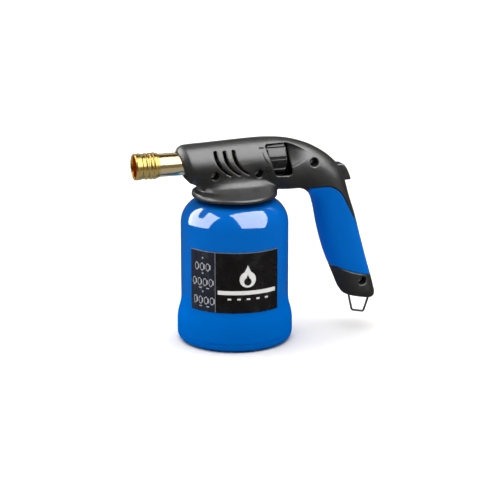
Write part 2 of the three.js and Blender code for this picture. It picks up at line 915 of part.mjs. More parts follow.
// Each vent bends backwards as it goes down, and narrows to its tail.
function ventTools() {
  return [0, 1, 2].map((i) => {
    const topX = ventFirst + i * ventSpacing;
    const edge = (side) =>
      Array.from({ length: arcSteps + 1 }, (_, k) => {
        const t = k / arcSteps;
        const half = (ventWidth / 2) * THREE.MathUtils.lerp(1, ventTailShare, t);
        const x = topX + ventLean * t ** ventCurl + side * half;
        return [x, axisZ + ventTopRise - ventHeight * t];
      });
    const outline = [...edge(-1), ...edge(1).reverse()];
    return slab(outline, -2 * sideReach, 2 * sideReach);
  });
}

// Screw places: shares of the barrel's reach and radius, then of the handle's reach and drop.
const frontScrewShares = [
  [-0.444, -0.53],
  [0.363, -0.54],
];
const rearScrewShares = [
  [0.289, -0.028],
  [0.812, -0.844],
];
const screwPlaces = [
  ...frontScrewShares.map(([x, z]) => [x * barrelReach, axisZ + z * barrelRadius]),
  ...rearScrewShares.map(inHandle),
];
const screwSeatY = -screwSeatDepth;
const bossRadius = counterboreRadius + bossWall;
const pilotRadius = screwShankRadius + gap;

// Piezo unit, the plunger in it and the button behind it, in line along X
const buttonShares = [
  [0.711, -0.178],
  [0.716, -0.169],
  [0.695, -0.132],
  [0.676, -0.104],
  [0.648, -0.076],
  [0.619, -0.067],
];
const buttonFace = buttonShares.map(inHandle);
const buttonLow = buttonFace[0][1];
const buttonHigh = buttonFace[buttonFace.length - 1][1];
const piezoZ = axisZ - piezoDrop;
const piezoFrontShare = 0.17;
const piezoFront = kneeReach + piezoFrontShare * handleReach;
const piezoBack = piezoFront + piezoLength;
const plungerFront = piezoBack - plungerLength + buttonTravel + gap;
const buttonFront = plungerFront + plungerLength + gap;
const stopRib = buttonFront + buttonFlangeThickness + gap;

// Ribs that hold the piezo unit, and the rib that stops the button's flange
function piezoRibs() {
  const side = 2 * handleHalfWidth;
  const half = piezoSize / 2;
  const low = piezoZ - half;
  const high = piezoZ + half;
  const ribs = [piezoFront + ribThickness, piezoBack - 2 * ribThickness].map((x) =>
    box(x, x + ribThickness, -side, side, low - ribThickness, high + ribThickness),
  );
  const clear = half + gap;
  const channel = box(piezoFront, piezoBack, -clear, clear, low - gap, high + gap);
  const stop = box(stopRib, stopRib + ribThickness, -side, side, buttonLow, buttonHigh);
  return [...ribs.map((rib) => rib.subtract(channel)), stop];
}

// Room for the button's neck to the outside, and for its flange as it travels
function buttonRoom() {
  const neck = buttonHalfWidth + gap;
  const wide = neck + buttonFlange;
  const low = buttonLow - gap;
  const high = buttonHigh + gap;
  return [
    box(stopRib - gap, kneeReach + handleReach, -neck, neck, low, high),
    box(buttonFront - buttonTravel - gap, stopRib, -wide, wide, low, high),
  ];
}

// Cradle plates that grip the valve block from both sides
function cradle() {
  const inner = blockWidth / 2 + gap;
  const low = axisZ - 2 * ribThickness;
  const plate = box(-ribThickness, ribThickness, inner, sideReach, low, axisZ + ribThickness);
  return [plate, plate.mirror([0, 1, 0])];
}

// Bail pivot, in a frame whose X runs along the pivot
const bailPlaceShares = [0.835, -0.953];
const bailPlace = new THREE.Vector3(
  kneeReach + bailPlaceShares[0] * handleReach,
  0,
  axisZ + bailPlaceShares[1] * handleDrop,
);
const inBailFrame = (body) =>
  body.rotate([0, bailTilt, 0]).translate([bailPlace.x, bailPlace.y, bailPlace.z]);

// Two slots for the bail's legs, and the bores for its pins
function bailCuts() {
  const clear = wireRadius + gap;
  const slotDeep = bailInset + handleWall;
  const width = clear + bailSkew + wireRadius;
  const slot = (x0, x1) =>
    box(x0, x1, -bailSlotHalfWidth, bailSlotHalfWidth, -slotDeep, clear);
  const reach = bailTopHalf + bailPin + gap;
  const bore = (x0, x1) => barX(clear, x0, x1, smallSides, 0);
  return [
    slot(-bailTopHalf - clear, -bailTopHalf + width),
    slot(bailTopHalf - width, bailTopHalf + clear),
    bore(-reach, -bailTopHalf),
    bore(bailTopHalf, reach),
  ].map(inBailFrame);
}

function makeBail() {
  const corners = [
    [-bailTopHalf - bailPin, 0],
    [-bailTopHalf, 0],
    [bailSkew - bailBottomHalf, -bailLength],
    [bailSkew + bailBottomHalf, -bailLength],
    [bailTopHalf, 0],
    [bailTopHalf + bailPin, 0],
  ].map(([x, z]) => new THREE.Vector3(x, 0, z));
  const path = new THREE.CurvePath();
  let from = corners[0];
  for (let i = 1; i + 1 < corners.length; i++) {
    const corner = corners[i];
    const bend = i === 1 || i + 2 === corners.length ? wireRadius : bailCorner;
    const before = corner.clone().lerp(corners[i - 1], bend / corner.distanceTo(corners[i - 1]));
    const after = corner.clone().lerp(corners[i + 1], bend / corner.distanceTo(corners[i + 1]));
    path.add(new THREE.LineCurve3(from, before));
    path.add(new THREE.QuadraticBezierCurve3(before, corner, after));
    from = after;
  }
  path.add(new THREE.LineCurve3(from, corners[corners.length - 1]));
  return inBailFrame(wire(path, wireRadius, wireSides, bailSteps));
}

// Grip panel outline, as shares of the handle's reach from the knee and of its drop. Its last
// three points lie in front of the handle, so that the grip wraps the handle's front.
const gripShares = [
  [0.262, -0.205],
  [0.45, -0.199],
  [0.54, -0.229],
  [0.588, -0.258],
  [0.637, -0.313],
  [0.694, -0.382],
  [0.757, -0.454],
  [0.83, -0.6],
  [0.913, -0.781],
  [0.91, -0.816],
  [0.7625, -0.791],
  [0.6625, -0.77],
  [0.543, -0.737],
  [0.386, -0.737],
  [0.159, -0.5],
  [0.27, -0.257],
];
const gripOutline = gripShares.map(inHandle);

// Moves an outline inwards (or outwards, when negative) by a distance.
function offsetOutline(outline, distance) {
  const count = outline.length;
  return outline.map(([x, z], i) => {
    const [px, pz] = outline[(i + count - 1) % count];
    const [nx, nz] = outline[(i + 1) % count];
    const before = new THREE.Vector2(x - px, z - pz).normalize();
    const after = new THREE.Vector2(nx - x, nz - z).normalize();
    const normal = new THREE.Vector2(before.y + after.y, -before.x - after.x).normalize();
    return [x - normal.x * distance, z - normal.y * distance];
  });
}

function gripZone(distance) {
  return slab(offsetOutline([...gripOutline].reverse(), distance), -2 * sideReach, 2 * sideReach);
}

// One half of space, a hair off the seam
function halfSpace(side) {
  const far = 3 * handleDrop;
  return side < 0
    ? box(-far, far, -far, -seamGap, -far, far)
    : box(-far, far, seamGap, far, -far, far);
}

function largest(body) {
  return body.decompose().reduce((best, each) => (each.volume() > best.volume() ? each : best));
}
const halves = (body) => [-1, 1].map((side) => largest(body.intersect(halfSpace(side))));

function makeShells() {
  const far = 2 * sideReach;
  const bosses = screwPlaces.flatMap(([x, z]) => [
    barY(bossRadius, -far, screwSeatY + bossWall, smallSides, x, z),
    barY(pilotRadius + pilotWall, screwSeatY, far, smallSides, x, z),
  ]);
  const inset = shellWall / 2;
  const inside = housingSkin(inset).add(loft(neckSkin(inset, 2 * ringPoints)));
  const added = union([...bosses, ...piezoRibs(), ...cradle(), scoopTool(scoopFloor)]);
  const shell = housingOutside.subtract(housingHollow()).add(added.intersect(inside));
  const knobRoom = barX(
    knobRadius + gap,
    knobFront - ribThickness,
    knobFront + knobLength + ribThickness,
    roundSides,
  );
  const screwHoles = screwPlaces.flatMap(([x, z]) => [
    barY(counterboreRadius, -far, screwSeatY, smallSides, x, z),
    barY(pilotRadius, screwSeatY - overrun, screwSeatY + screwLength + gap, smallSides, x, z),
  ]);
  const gripRecess = gripZone(0).subtract(housingSkin(gripThickness + gap));
  return halves(
    cut(shell, [
      barX(tubeRadius + gap, -2 * barrelReach, 0, roundSides),
      knobRoom,
      windowTool(),
      scoopTool(0),
      gripRecess,
      ...ventTools(),
      ...screwHoles,
      ...buttonRoom(),
      ...bailCuts(),
    ]),
  );
}

function makeGrips() {
  const skin = housingSkin(0).subtract(housingSkin(gripThickness));
  return halves(skin.intersect(gripZone(gap)));
}

function makeScrew([x, z]) {
  const seat = screwSeatY - gap;
  const head = barY(screwHeadRadius, seat - screwHeadHeight, seat, smallSides, x, z);
  const shank = barY(screwShankRadius, seat - gap, seat + screwLength, wireSides, x, z);
  const slotHalf = screwHeadRadius / 6;
  const long = screwHeadRadius * (2 / 3);
  const low = seat - screwHeadHeight - overrun;
  const deep = seat - screwHeadHeight / 2;
  const cross = box(x - long, x + long, low, deep, z - slotHalf, z + slotHalf).add(
    box(x - slotHalf, x + slotHalf, low, deep, z - long, z + long),
  );
  return head.add(shank).subtract(cross);
}

// Ignition button: a block with a rounded back face and a flange that keeps it in
function makeButton() {
  const outline = [[buttonFront, buttonLow], ...buttonFace, [buttonFront, buttonHigh]];
  const block = slab(outline, -buttonHalfWidth, buttonHalfWidth);
  const wide = buttonHalfWidth + buttonFlange;
  const flangeBack = buttonFront + buttonFlangeThickness;
  return block.add(box(buttonFront, flangeBack, -wide, wide, buttonLow, buttonHigh));
}

function makePiezo() {
  const half = piezoSize / 2;
  const bore = plungerSize / 2 + gap;
  const body = box(piezoFront, piezoBack, -half, half, piezoZ - half, piezoZ + half);
  const deep = plungerFront - buttonTravel - gap;
  return body.subtract(box(deep, piezoBack + overrun, -bore, bore, piezoZ - bore, piezoZ + bore));
}

function makePlunger() {
  const half = plungerSize / 2;
  return box(plungerFront, plungerFront + plungerLength, -half, half, piezoZ - half, piezoZ + half);
}

// Ignition lead, clipped inside the shells from the electrode to the piezo unit
function makeCable() {
  const side = blockWidth / 2 + 2 * gap + cableRadius;
  const start = -insulatorBack + gap;
  const step = 3 * cableRadius;
  const underCradle = axisZ - 2 * ribThickness - 2 * cableRadius - gap;
  const underKnob = axisZ - knobRadius - 2 * cableRadius - gap;
  const route = [
    [start, 0, electrodeZ],
    [start + step, 0, electrodeZ],
    [blockFront - 2 * step, side / 2, electrodeZ - cableRadius],
    [blockFront - step, side, axisZ],
    [blockFront + cableRadius, side, underCradle + cableRadius],
    [-cableRadius, side, underCradle],
    [blockRear / 2, side, underCradle - cableRadius],
    [blockRear + cableRadius, side, underCradle - 2 * step],
    [blockRear + 2 * step, side - cableRadius, underKnob],
    [knobFront, side / 2, underKnob],
    [knobFront + knobLength / 2, side / 4, underKnob],
    [knobFront + knobLength, 0, underKnob],
    [piezoFront - step, 0, piezoZ],
    [piezoFront - gap, 0, piezoZ],
  ].map((p) => new THREE.Vector3(...p));
  const curve = new THREE.CatmullRomCurve3(route, false, "centripetal");
  return wire(curve, cableRadius, wireSides, cableSteps);
}

const blue = 0x0060c8;
const grey = 0x37383a;
const black = 0x131315;
const brass = 0xd8b052;
const steel = 0xb9bbbe;

const [shellLeft, shellRight] = makeShells();
const [gripLeft, gripRight] = makeGrips();

const torch = new THREE.Group();
torch.add(
  piece("canister_shell", makeCanister(), blue, 0.2, 0.1),
  piece("base_cup", makeBase(), blue, 0.2, 0.1),
  piece("base_insert", makeBaseInsert(), black, 0.6, 0),
  piece("gas_cartridge", makeCartridge(), steel, 0.35, 0.9),
  piece("label", makeLabel(), black, 0.4, 0),
  piece("valve_body", makeValveBody(), brass, 0.35, 0.9),
  piece("clamp_nut", makeClampNut(), steel, 0.35, 0.9),
  piece("piercing_needle", makeNeedle(), steel, 0.25, 0.9),
  piece("needle_seal", makeSeal(), black, 0.8, 0),
  piece("jet_pipe", makeJetPipe(), brass, 0.3, 0.9),
  piece("gas_jet", makeJet(), brass, 0.3, 0.9),
  piece("air_mixer", makeMixer(), brass, 0.4, 0.9),
  piece("burner_tube", makeBurnerTube(), brass, 0.15, 1),
  piece("burner_nozzle", makeNozzle(), brass, 0.15, 1),
  piece("flame_disc", makeFlameDisc(), brass, 0.3, 0.9),
  piece("electrode_insulator", makeInsulator(), 0xf0ece2, 0.4, 0),
  piece("spark_electrode", makeElectrode(), steel, 0.3, 0.9),
  piece("ignition_cable", makeCable(), 0xb01818, 0.5, 0),
  piece("gland_nut", makeGlandNut(), brass, 0.3, 0.9),
  piece("stem_o_ring", makeORing(), black, 0.7, 0),
  piece("valve_stem", makeStem(), steel, 0.25, 0.9),
  piece("gas_knob", makeKnob(), black, 0.45, 0),
  piece("shell_left", shellLeft, grey, 0.5, 0),
  piece("shell_right", shellRight, grey, 0.5, 0),
  piece("grip_left", gripLeft, blue, 0.7, 0),
  piece("grip_right", gripRight, blue, 0.7, 0),
  piece("ignition_button", makeButton(), grey, 0.45, 0),
  piece("piezo_plunger", makePlunger(), black, 0.5, 0),
  piece("piezo_unit", makePiezo(), black, 0.5, 0),
  piece("hang_bail", makeBail(), steel, 0.3, 0.9),
  ...screwPlaces.map((place, i) =>
    piece(`housing_screw_${i + 1}`, makeScrew(place), steel, 0.35, 0.9),
  ),
);

export default torch;
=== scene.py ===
import functools
import math

import bpy
import numpy as np
from mathutils import Matrix, Vector


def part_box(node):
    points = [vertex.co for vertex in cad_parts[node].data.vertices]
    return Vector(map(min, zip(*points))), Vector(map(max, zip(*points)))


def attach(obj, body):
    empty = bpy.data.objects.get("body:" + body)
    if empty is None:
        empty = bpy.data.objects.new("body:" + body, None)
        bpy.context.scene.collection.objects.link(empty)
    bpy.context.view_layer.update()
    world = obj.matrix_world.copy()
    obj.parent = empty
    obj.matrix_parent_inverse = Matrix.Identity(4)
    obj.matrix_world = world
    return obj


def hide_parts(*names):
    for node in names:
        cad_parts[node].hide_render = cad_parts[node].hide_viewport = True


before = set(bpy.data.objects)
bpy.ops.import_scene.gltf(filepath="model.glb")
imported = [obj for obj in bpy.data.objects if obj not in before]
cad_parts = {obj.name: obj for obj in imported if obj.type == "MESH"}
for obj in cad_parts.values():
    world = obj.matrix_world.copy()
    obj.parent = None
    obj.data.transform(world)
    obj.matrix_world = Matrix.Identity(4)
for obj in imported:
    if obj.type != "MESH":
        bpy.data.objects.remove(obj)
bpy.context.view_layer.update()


# Camera: it stood a little to the left of the torch and above it, with a long lens, so the torch
# is seen almost square to its side.
def in_scene(name, data):
    """An object made of this data, put in the scene."""
    made = bpy.data.objects.new(name, data)
    bpy.context.scene.collection.objects.link(made)
    return made


mm = 0.001
camera_azimuth = math.radians(-18.5)
camera_elevation = math.radians(15.5)
camera_data = bpy.data.cameras.new("photo_camera")
camera_data.lens = 136.8
camera_data.clip_end = 100
camera = in_scene("photo_camera", camera_data)
camera.location = Vector((-484.23, -1488.70, 511.13)) * mm
looking = Vector((
    -math.sin(camera_azimuth) * math.cos(camera_elevation),
    math.cos(camera_azimuth) * math.cos(camera_elevation),
    -math.sin(camera_elevation),
))
camera.rotation_euler = looking.to_track_quat("-Z", "Y").to_euler()
bpy.context.scene.camera = camera
bpy.context.scene.view_settings.view_transform = "Standard"


# Floor: a sheet of pale matt paper, far larger than the view. Its image is kept out of the glossy
# pieces.
class Value:
    """One output of a node. Sums, products and comparisons of them add Math nodes to its tree."""

    def __init__(self, tree, socket):
        self.tree = tree
        self.socket = socket

    def worked(self, operation, *others):
        return self.tree.node("ShaderNodeMath", {"operation": operation}, (self, *others))

    def __add__(self, other):
        return self.worked("ADD", other)

    def __sub__(self, other):
        return self.worked("SUBTRACT", other)

    def __rsub__(self, other):
        return self.tree.node("ShaderNodeMath", {"operation": "SUBTRACT"}, (other, self))

    def __mul__(self, other):
        return self.worked("MULTIPLY", other)

    def __truediv__(self, other):
        return self.worked("DIVIDE", other)

    def __pow__(self, other):
        return self.worked("POWER", other)

    def __lt__(self, other):
        return self.worked("LESS_THAN", other)

    def __gt__(self, other):
        return self.worked("GREATER_THAN", other)

    def __abs__(self):
        return self.worked("ABSOLUTE")

    def __or__(self, other):
        return self.worked("MAXIMUM", other)

    def __and__(self, other):
        return self.worked("MINIMUM", other)

    __radd__ = __add__
    __rmul__ = __mul__


class Nodes:
    """A node tree being built."""

    def __init__(self, tree):
        self.tree = tree

    def node(self, kind, settings, values, output=0):
        """Adds a node, and gives one of its outputs."""
        made = self.tree.nodes.new(kind)
        for name, setting in settings.items():
            setattr(made, name, setting)
        named = values.items() if isinstance(values, dict) else enumerate(values)
        for key, value in named:
            self.connect(made.inputs[key], value)
        return Value(self, made.outputs[output])

    def connect(self, socket, value):
        if isinstance(value, Value):
            self.tree.links.new(value.socket, socket)
        elif isinstance(value, tuple) and socket.type == "RGBA":
            socket.default_value = (*value, 1)
        else:
            socket.default_value = value

    def parts(self, vector):
        """The X, Y and Z of a vector."""
        first = self.node("ShaderNodeSeparateXYZ", {}, (vector,))
        return [Value(self, out) for out in first.socket.node.outputs]


class Finish(Nodes):
    """A material being made: numbers go on its shader's sockets, and nodes vary them in places."""

    def __init__(self, name, colour, **numbers):
        self.material = bpy.data.materials.new(name)
        self.material.use_nodes = True
        super().__init__(self.material.node_tree)
        self.shader = self.tree.nodes["Principled BSDF"]
        self.shader.inputs["Base Color"].default_value = (*colour, 1)
        self.vary(**numbers)
        self.where = self.node("ShaderNodeTexCoord", {}, (), output="Object")

    def vary(self, **values):
        """Gives the shader numbers, colours or the outputs of nodes."""
        for socket in self.shader.inputs:
            value = values.get(socket.name.lower().replace(" ", "_"))
            if value is not None:
                self.connect(socket, value)

    def noise(self, grain, detail=2.0, where=None):
        """Noise from 0 to 1 whose grain is a length."""
        values = {"Vector": where or self.where, "Scale": 1 / grain, "Detail": detail}
        return self.node("ShaderNodeTexNoise", {}, values)

    def between(self, value, low, high):
        """A number that runs from low to high as noise does through its middle."""
        return self.node("ShaderNodeMapRange", {}, (value, 0.3, 0.7, low, high))

    def mottled(self, grain, low, high):
        """Lets the roughness wander between two numbers, in patches of the grain's size."""
        self.vary(roughness=self.between(self.noise(grain), low, high))
        return self

    def grained(self, grain, depth, detail=2.0):
        """Raises the surface by up to a depth, in bumps of the grain's size."""
        values = {"Height": self.noise(grain, detail), "Distance": depth, "Strength": 1.0}
        self.vary(normal=self.node("ShaderNodeBump", {}, values))
        return self

    def laid_over(self, share, ground, colour):
        """One colour over another where the share is 1."""
        values = {0: share, 6: ground, 7: colour}
        return self.node("ShaderNodeMix", {"data_type": "RGBA"}, values, output=2)


def mesh_of(corners, faces, edges=()):
    """A mesh of these corners, with the faces or the edges between them."""
    mesh = bpy.data.meshes.new("mesh")
    mesh.from_pydata(np.array(corners, float).tolist(), edges, faces)
    return mesh


floor_half = 15.0
floor_corners = np.array([(-1, -1, 0), (1, -1, 0), (1, 1, 0), (-1, 1, 0)]) * floor_half
floor = in_scene("floor", mesh_of(floor_corners, [(0, 1, 2, 3)]))
floor_paper = Finish("floor_paper", (0.78, 0.763, 0.74), roughness=0.9, specular_ior_level=0.0)
floor.data.materials.append(floor_paper.material)
floor.visible_glossy = False


# Backdrop: a white screen all round, far behind. It only closes the view above the floor, and
# neither lights the torch nor shows in it.
def round_z(radius, turn, height):
    """The point at a radius and a height, turned about Z by some radians."""
    return radius * math.cos(turn), radius * math.sin(turn), height


screen_radius, screen_height, screen_sides = 5.0, 6.0, 96
screen_corners, screen_faces = [], []
for side in range(screen_sides):
    turn = side * math.tau / screen_sides
    for height in (0, screen_height):
        screen_corners.append(round_z(screen_radius, turn, height))
    near, far = 2 * side, 2 * ((side + 1) % screen_sides)
    screen_faces.append((near, near + 1, far + 1, far))
backdrop = in_scene("backdrop", mesh_of(screen_corners, screen_faces))
screen_white = Finish("screen_white", (0, 0, 0), emission_color=(1, 1, 1), emission_strength=1.0)
backdrop.data.materials.append(screen_white.material)
for sight in ("diffuse", "glossy", "transmission", "shadow"):
    setattr(backdrop, f"visible_{sight}", False)

# Studio light: two large soft boxes that show in the glossy pieces, and an even fill from above and
# both sides. Metal mirrors far more than paint and plastic do, so the strong boxes leave it out,
# and weaker ones in their place, with others behind, in front and below, light it alone.
light_aim = Vector((0, 0, 110 * mm))
metal_only = bpy.data.collections.new("metal_only")
all_but_metal = bpy.data.collections.new("all_but_metal")


def soft_box(name, towards, width, height, brightness, roll=0, distance=6.0, lights=None):
    """A soft box, with the width and height that it would have one metre away. One that is meant
    for some pieces alone shows in their gloss, and any other only lights what is matt."""
    data = bpy.data.lights.new(name, "AREA")
    data.shape = "RECTANGLE"
    data.size = width * distance
    data.size_y = height * distance
    data.energy = brightness * math.pi * data.size * data.size_y
    lamp = in_scene(name, data)
    lamp.visible_glossy = lights is not None
    lamp.visible_diffuse = lights is None
    lamp.visible_camera = False
    lamp.light_linking.receiver_collection = lights
    direction = Vector(towards).normalized()
    facing = (-direction).to_track_quat("-Z", "Y").to_matrix().to_4x4()
    place = Matrix.Translation(light_aim + direction * distance)
    lamp.matrix_world = place @ facing @ Matrix.Rotation(math.radians(roll), 4, "Z")


left, right = (-0.823, 0.266, 0.501), (0.382, -0.569, 0.729)
soft_box("left_box", left, 1.25, 1.09, 12, 11, lights=all_but_metal)
soft_box("right_box", right, 1.19, 1.45, 12, -17, lights=all_but_metal)
soft_box("left_metal_box", left, 1.25, 1.09, 2.2, 11, lights=metal_only)
soft_box("right_metal_box", right, 1.19, 1.45, 2.7, -17, lights=metal_only)
soft_box("metal_back", (0.1, 0.82, 0.56), 1.6, 0.5, 0.55, lights=metal_only)
soft_box("metal_front", (0.35, -0.93, 0), 1.4, 0.4, 0.12, distance=0.5, lights=metal_only)
soft_box("metal_floor", (0, 0, -1), 8, 8, 0.35, distance=0.108, lights=metal_only)
soft_box("ceiling", (0, 0.12, 1), 1.7, 1.7, 3.5)
soft_box("left_fill", (-0.94, 0.34, 0.3), 1.0, 1.2, 1)
soft_box("right_fill", (0.97, -0.26, 0.3), 1.0, 1.2, 0.9)
world = bpy.data.worlds.new("room")
world.use_nodes = True
world.node_tree.nodes["Background"].inputs[0].default_value = (1, 1, 1, 1)
world.node_tree.nodes["Background"].inputs[1].default_value = 0.04
bpy.context.scene.world = world


# Gas cartridge: a drawn and seamed tinplate can, pierced in its crown by the hollow needle. It
# stands on a moulded seat ring in the base, which lifts it against the seal.
def light_as(finish, piece):
    """Gives a metal piece the lights that are meant for metal."""
    if finish.shader.inputs["Metallic"].default_value > 0:
        for pieces in (metal_only, all_but_metal):
            pieces.objects.link(piece)
        for member in all_but_metal.collection_objects:
            member.light_linking.link_state = "EXCLUDE"


def dress(finish, slot, *names):
    """Gives CAD nodes that keep their own shape their finish."""
    for name in names:
        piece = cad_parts[name]
        piece.data.materials.clear()
        piece.data.materials.append(finish.material)
        light_as(finish, piece)


tinplate = Finish("tinplate", (0.6, 0.61, 0.62), metallic=1).mottled(12 * mm, 0.25, 0.4)
dress(tinplate, "cartridge_steel", "gas_cartridge")
seat_plastic = Finish("seat_plastic", (0.03, 0.03, 0.032), roughness=0.55)
seat_plastic.grained(0.4 * mm, 0.02 * mm)
dress(seat_plastic, "insert_plastic", "base_insert")


# Base: a cup drawn from steel sheet and enamelled, with a thread rolled in its spigot. It screws up
# into the canister's skirt until the two rims meet.
class Recipe(Nodes):
    """A geometry node tree being built: its sizes first, then the nodes, then what it gives."""

    def __init__(self, name, **sizes):
        super().__init__(bpy.data.node_groups.new(name, "GeometryNodeTree"))
        self.sockets = {}
        self.add_socket("Geometry", "NodeSocketGeometry")
        for label, size in sizes.items():
            kind = "NodeSocketInt" if isinstance(size, int) else "NodeSocketFloat"
            self.sockets[label] = self.add_socket(label.replace("_", " ").title(), kind)
            self.sockets[label].default_value = size
        self.sockets["finish"] = self.add_socket("Finish", "NodeSocketMaterial")
        self.group_input = self.tree.nodes.new("NodeGroupInput")

    def add_socket(self, name, kind, way="INPUT"):
        return self.tree.interface.new_socket(name, in_out=way, socket_type=kind)

    def given(self, name):
        return Value(self, self.group_input.outputs[name])

    def gives(self, geometry):
        """Ends the tree: the geometry made real, in the finish that it is given."""
        real = self.node("GeometryNodeRealizeInstances", {}, (geometry,))
        values = {"Geometry": real, "Material": self.given("Finish")}
        dressed = self.node("GeometryNodeSetMaterial", {}, values)
        self.add_socket("Geometry", "NodeSocketGeometry", "OUTPUT")
        self.tree.links.new(dressed.socket, self.tree.nodes.new("NodeGroupOutput").inputs[0])

    def make(self, points, edges, finish, **sizes):
        """The mesh that the tree makes of some points, the edges between them and its sizes."""
        start = mesh_of(points, (), edges)
        worker = in_scene("worker", start)
        modifier = worker.modifiers.new("recipe", "NODES")
        modifier.node_group = self.tree
        for label, size in {**sizes, "finish": finish.material}.items():
            modifier[self.sockets[label].identifier] = size
        graph = bpy.context.evaluated_depsgraph_get()
        mesh = bpy.data.meshes.new_from_object(worker.evaluated_get(graph), depsgraph=graph)
        bpy.data.objects.remove(worker)
        bpy.data.meshes.remove(start)
        return mesh


no_flutes = {"flutes": 1, "flute_width": 0.0, "flute_floor": 1.0, "flute_turn": 0.0}
turning = Recipe("turning", sides=96, **no_flutes, flute_edge=0.5 * mm)
outline = turning.given("Geometry")
sides = turning.given("Sides")
rows = turning.node("GeometryNodeAttributeDomainSize", {"component": "MESH"}, (outline,))
grid_sizes = {"Size X": rows - 1, "Size Y": sides, "Vertices X": rows, "Vertices Y": sides + 1}
grid = turning.node("GeometryNodeMeshGrid", {}, grid_sizes)
position = turning.node("GeometryNodeInputPosition", {}, ())
along, around, _ = turning.parts(position)
row = (along + (rows - 1) / 2).worked("ROUND")
sampled = {"Geometry": outline, "Value": position, "Index": row}
point = turning.node("GeometryNodeSampleIndex", {"data_type": "FLOAT_VECTOR"}, sampled)
radius, _, height = turning.parts(point)
turn = around / sides + 0.5
flute = turn * turning.given("Flutes") - turning.given("Flute Turn")
off_flute = abs(flute - flute.worked("ROUND")) / turning.given("Flutes") * math.tau * radius
edge = turning.given("Flute Edge") / 2
half_flute = turning.given("Flute Width") / 2
pressed = turning.node(
    "ShaderNodeMapRange",
    {"interpolation_type": "SMOOTHSTEP"},
    (off_flute, half_flute + edge, half_flute - edge, 0.0, 1.0),
)
fluted = radius - ((radius - turning.given("Flute Floor")) | 0.0) * pressed
angle = turn * math.tau
rim_point = (fluted * angle.worked("COSINE"), fluted * angle.worked("SINE"), height)
wrapped = turning.node("ShaderNodeCombineXYZ", {}, rim_point)
bent = turning.node("GeometryNodeSetPosition", {}, {"Geometry": grid, "Position": wrapped})
sewn = turning.node("GeometryNodeMergeByDistance", {}, {"Geometry": bent, "Distance": 0.001 * mm})
turning.gives(sewn)

sweeping = Recipe("sweeping", radius=1 * mm, sides=16, taper=0.0)
path = sweeping.node("GeometryNodeMeshToCurve", {}, (sweeping.given("Geometry"),))
share = sweeping.node("GeometryNodeSplineParameter", {}, ())
least = 0.001
swell = (((share & (1 - share)) + least) / (sweeping.given("Taper") + least)) & 1.0
path = sweeping.node("GeometryNodeSetCurveRadius", {}, {"Curve": path, "Radius": swell})
circle_sizes = {"Resolution": sweeping.given("Sides"), "Radius": sweeping.given("Radius")}
circle = sweeping.node("GeometryNodeCurvePrimitiveCircle", {}, circle_sizes)
swept_sizes = {"Curve": path, "Profile Curve": circle, "Fill Caps": True}
sweeping.gives(sweeping.node("GeometryNodeCurveToMesh", {}, swept_sizes))


def turned(outline, finish, **sizes):
    """An outline of (radius, height) turned about Z."""
    return turning.make([(r, 0, z) for r, z in outline], (), finish, **sizes)


def swept_along(path, finish, **sizes):
    """A round bar along a path."""
    return sweeping.make(path, [(i, i + 1) for i in range(len(path) - 1)], finish, **sizes)


def rounded(outline, radius, steps=5, closed=False):
    """The outline with its corners turned into curves of about this radius."""
    points = [np.array(p, float) for p in outline]
    smooth = []
    for i, point in enumerate(points):
        if not closed and i in (0, len(points) - 1):
            smooth.append(tuple(point))
            continue
        before, after = points[i - 1], points[(i + 1) % len(points)]
        gaps = np.linalg.norm(before - point), np.linalg.norm(after - point)
        reach = min(radius, 0.45 * min(gaps))
        start = point + (before - point) * reach / gaps[0]
        end = point + (after - point) * reach / gaps[1]
        for t in np.linspace(0, 1, steps + 1):
            smooth.append(tuple(start * (1 - t) ** 2 + 2 * point * t * (1 - t) + end * t**2))
    return smooth


def arc(centre, radius, start, end, steps):
    """Points of a circle's arc, from one angle in degrees to another."""
    turns = np.radians(np.linspace(start, end, steps + 1))
    return [(centre[0] + radius * math.cos(a), centre[1] + radius * math.sin(a)) for a in turns]


def point_outwards(mesh):
    """Turns the faces of a closed mesh outwards, where its volume comes out negative."""
    mesh.calc_loop_triangles()
    at = np.empty(len(mesh.vertices) * 3)
    mesh.vertices.foreach_get("co", at)
    corner = np.empty(len(mesh.loop_triangles) * 3, int)
    mesh.loop_triangles.foreach_get("vertices", corner)
    a, b, c = at.reshape(-1, 3)[corner.reshape(-1, 3)].transpose(1, 0, 2)
    if (a * np.cross(b, c)).sum() < 0:
        mesh.flip_normals()


def one_mesh(*meshes):
    """Separate bodies of one piece in one mesh."""
    corners, faces = [], []
    for mesh in meshes:
        point_outwards(mesh)
        start = len(corners)
        corners += [tuple(v.co) for v in mesh.vertices]
        faces += [[start + i for i in face.vertices] for face in mesh.polygons]
    return mesh_of(corners, faces)


def add_piece(name, mesh, finish, body, slot, *nodes, sharp=180):
    """Makes the object of a finished piece, with smooth shading up to a sharp angle."""
    mesh.name = name
    piece = in_scene(name, mesh)
    point_outwards(mesh)
    mesh.materials.clear()
    mesh.materials.append(finish.material)
    mesh.polygons.foreach_set("use_smooth", [True] * len(mesh.polygons))
    mesh.set_sharp_from_angle(angle=math.radians(sharp))
    light_as(finish, piece)
    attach(piece, body)
    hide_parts(*nodes)


lacquer_start, lacquer_full = 37 * mm, 46 * mm


def enamel(name):
    """Baked blue enamel: a satin coat, with clear lacquer over it from above the foot."""
    finish = Finish(
        name, (0.0, 0.128, 0.53), specular_ior_level=0.0, coat_roughness=0.05, coat_ior=1.5
    )
    up = finish.parts(finish.where)[2]
    lacquered = (up, lacquer_start, lacquer_full, 0.0, 1.0)
    finish.vary(coat_weight=finish.node("ShaderNodeMapRange", {}, lacquered))
    cloudy = finish.noise(30 * mm, detail=3.0)
    finish.vary(base_color=finish.laid_over(cloudy, (0.0, 0.123, 0.51), (0.0, 0.132, 0.55)))
    return finish.mottled(6 * mm, 0.4, 0.5).grained(1.6 * mm, 0.004 * mm, detail=1.0)


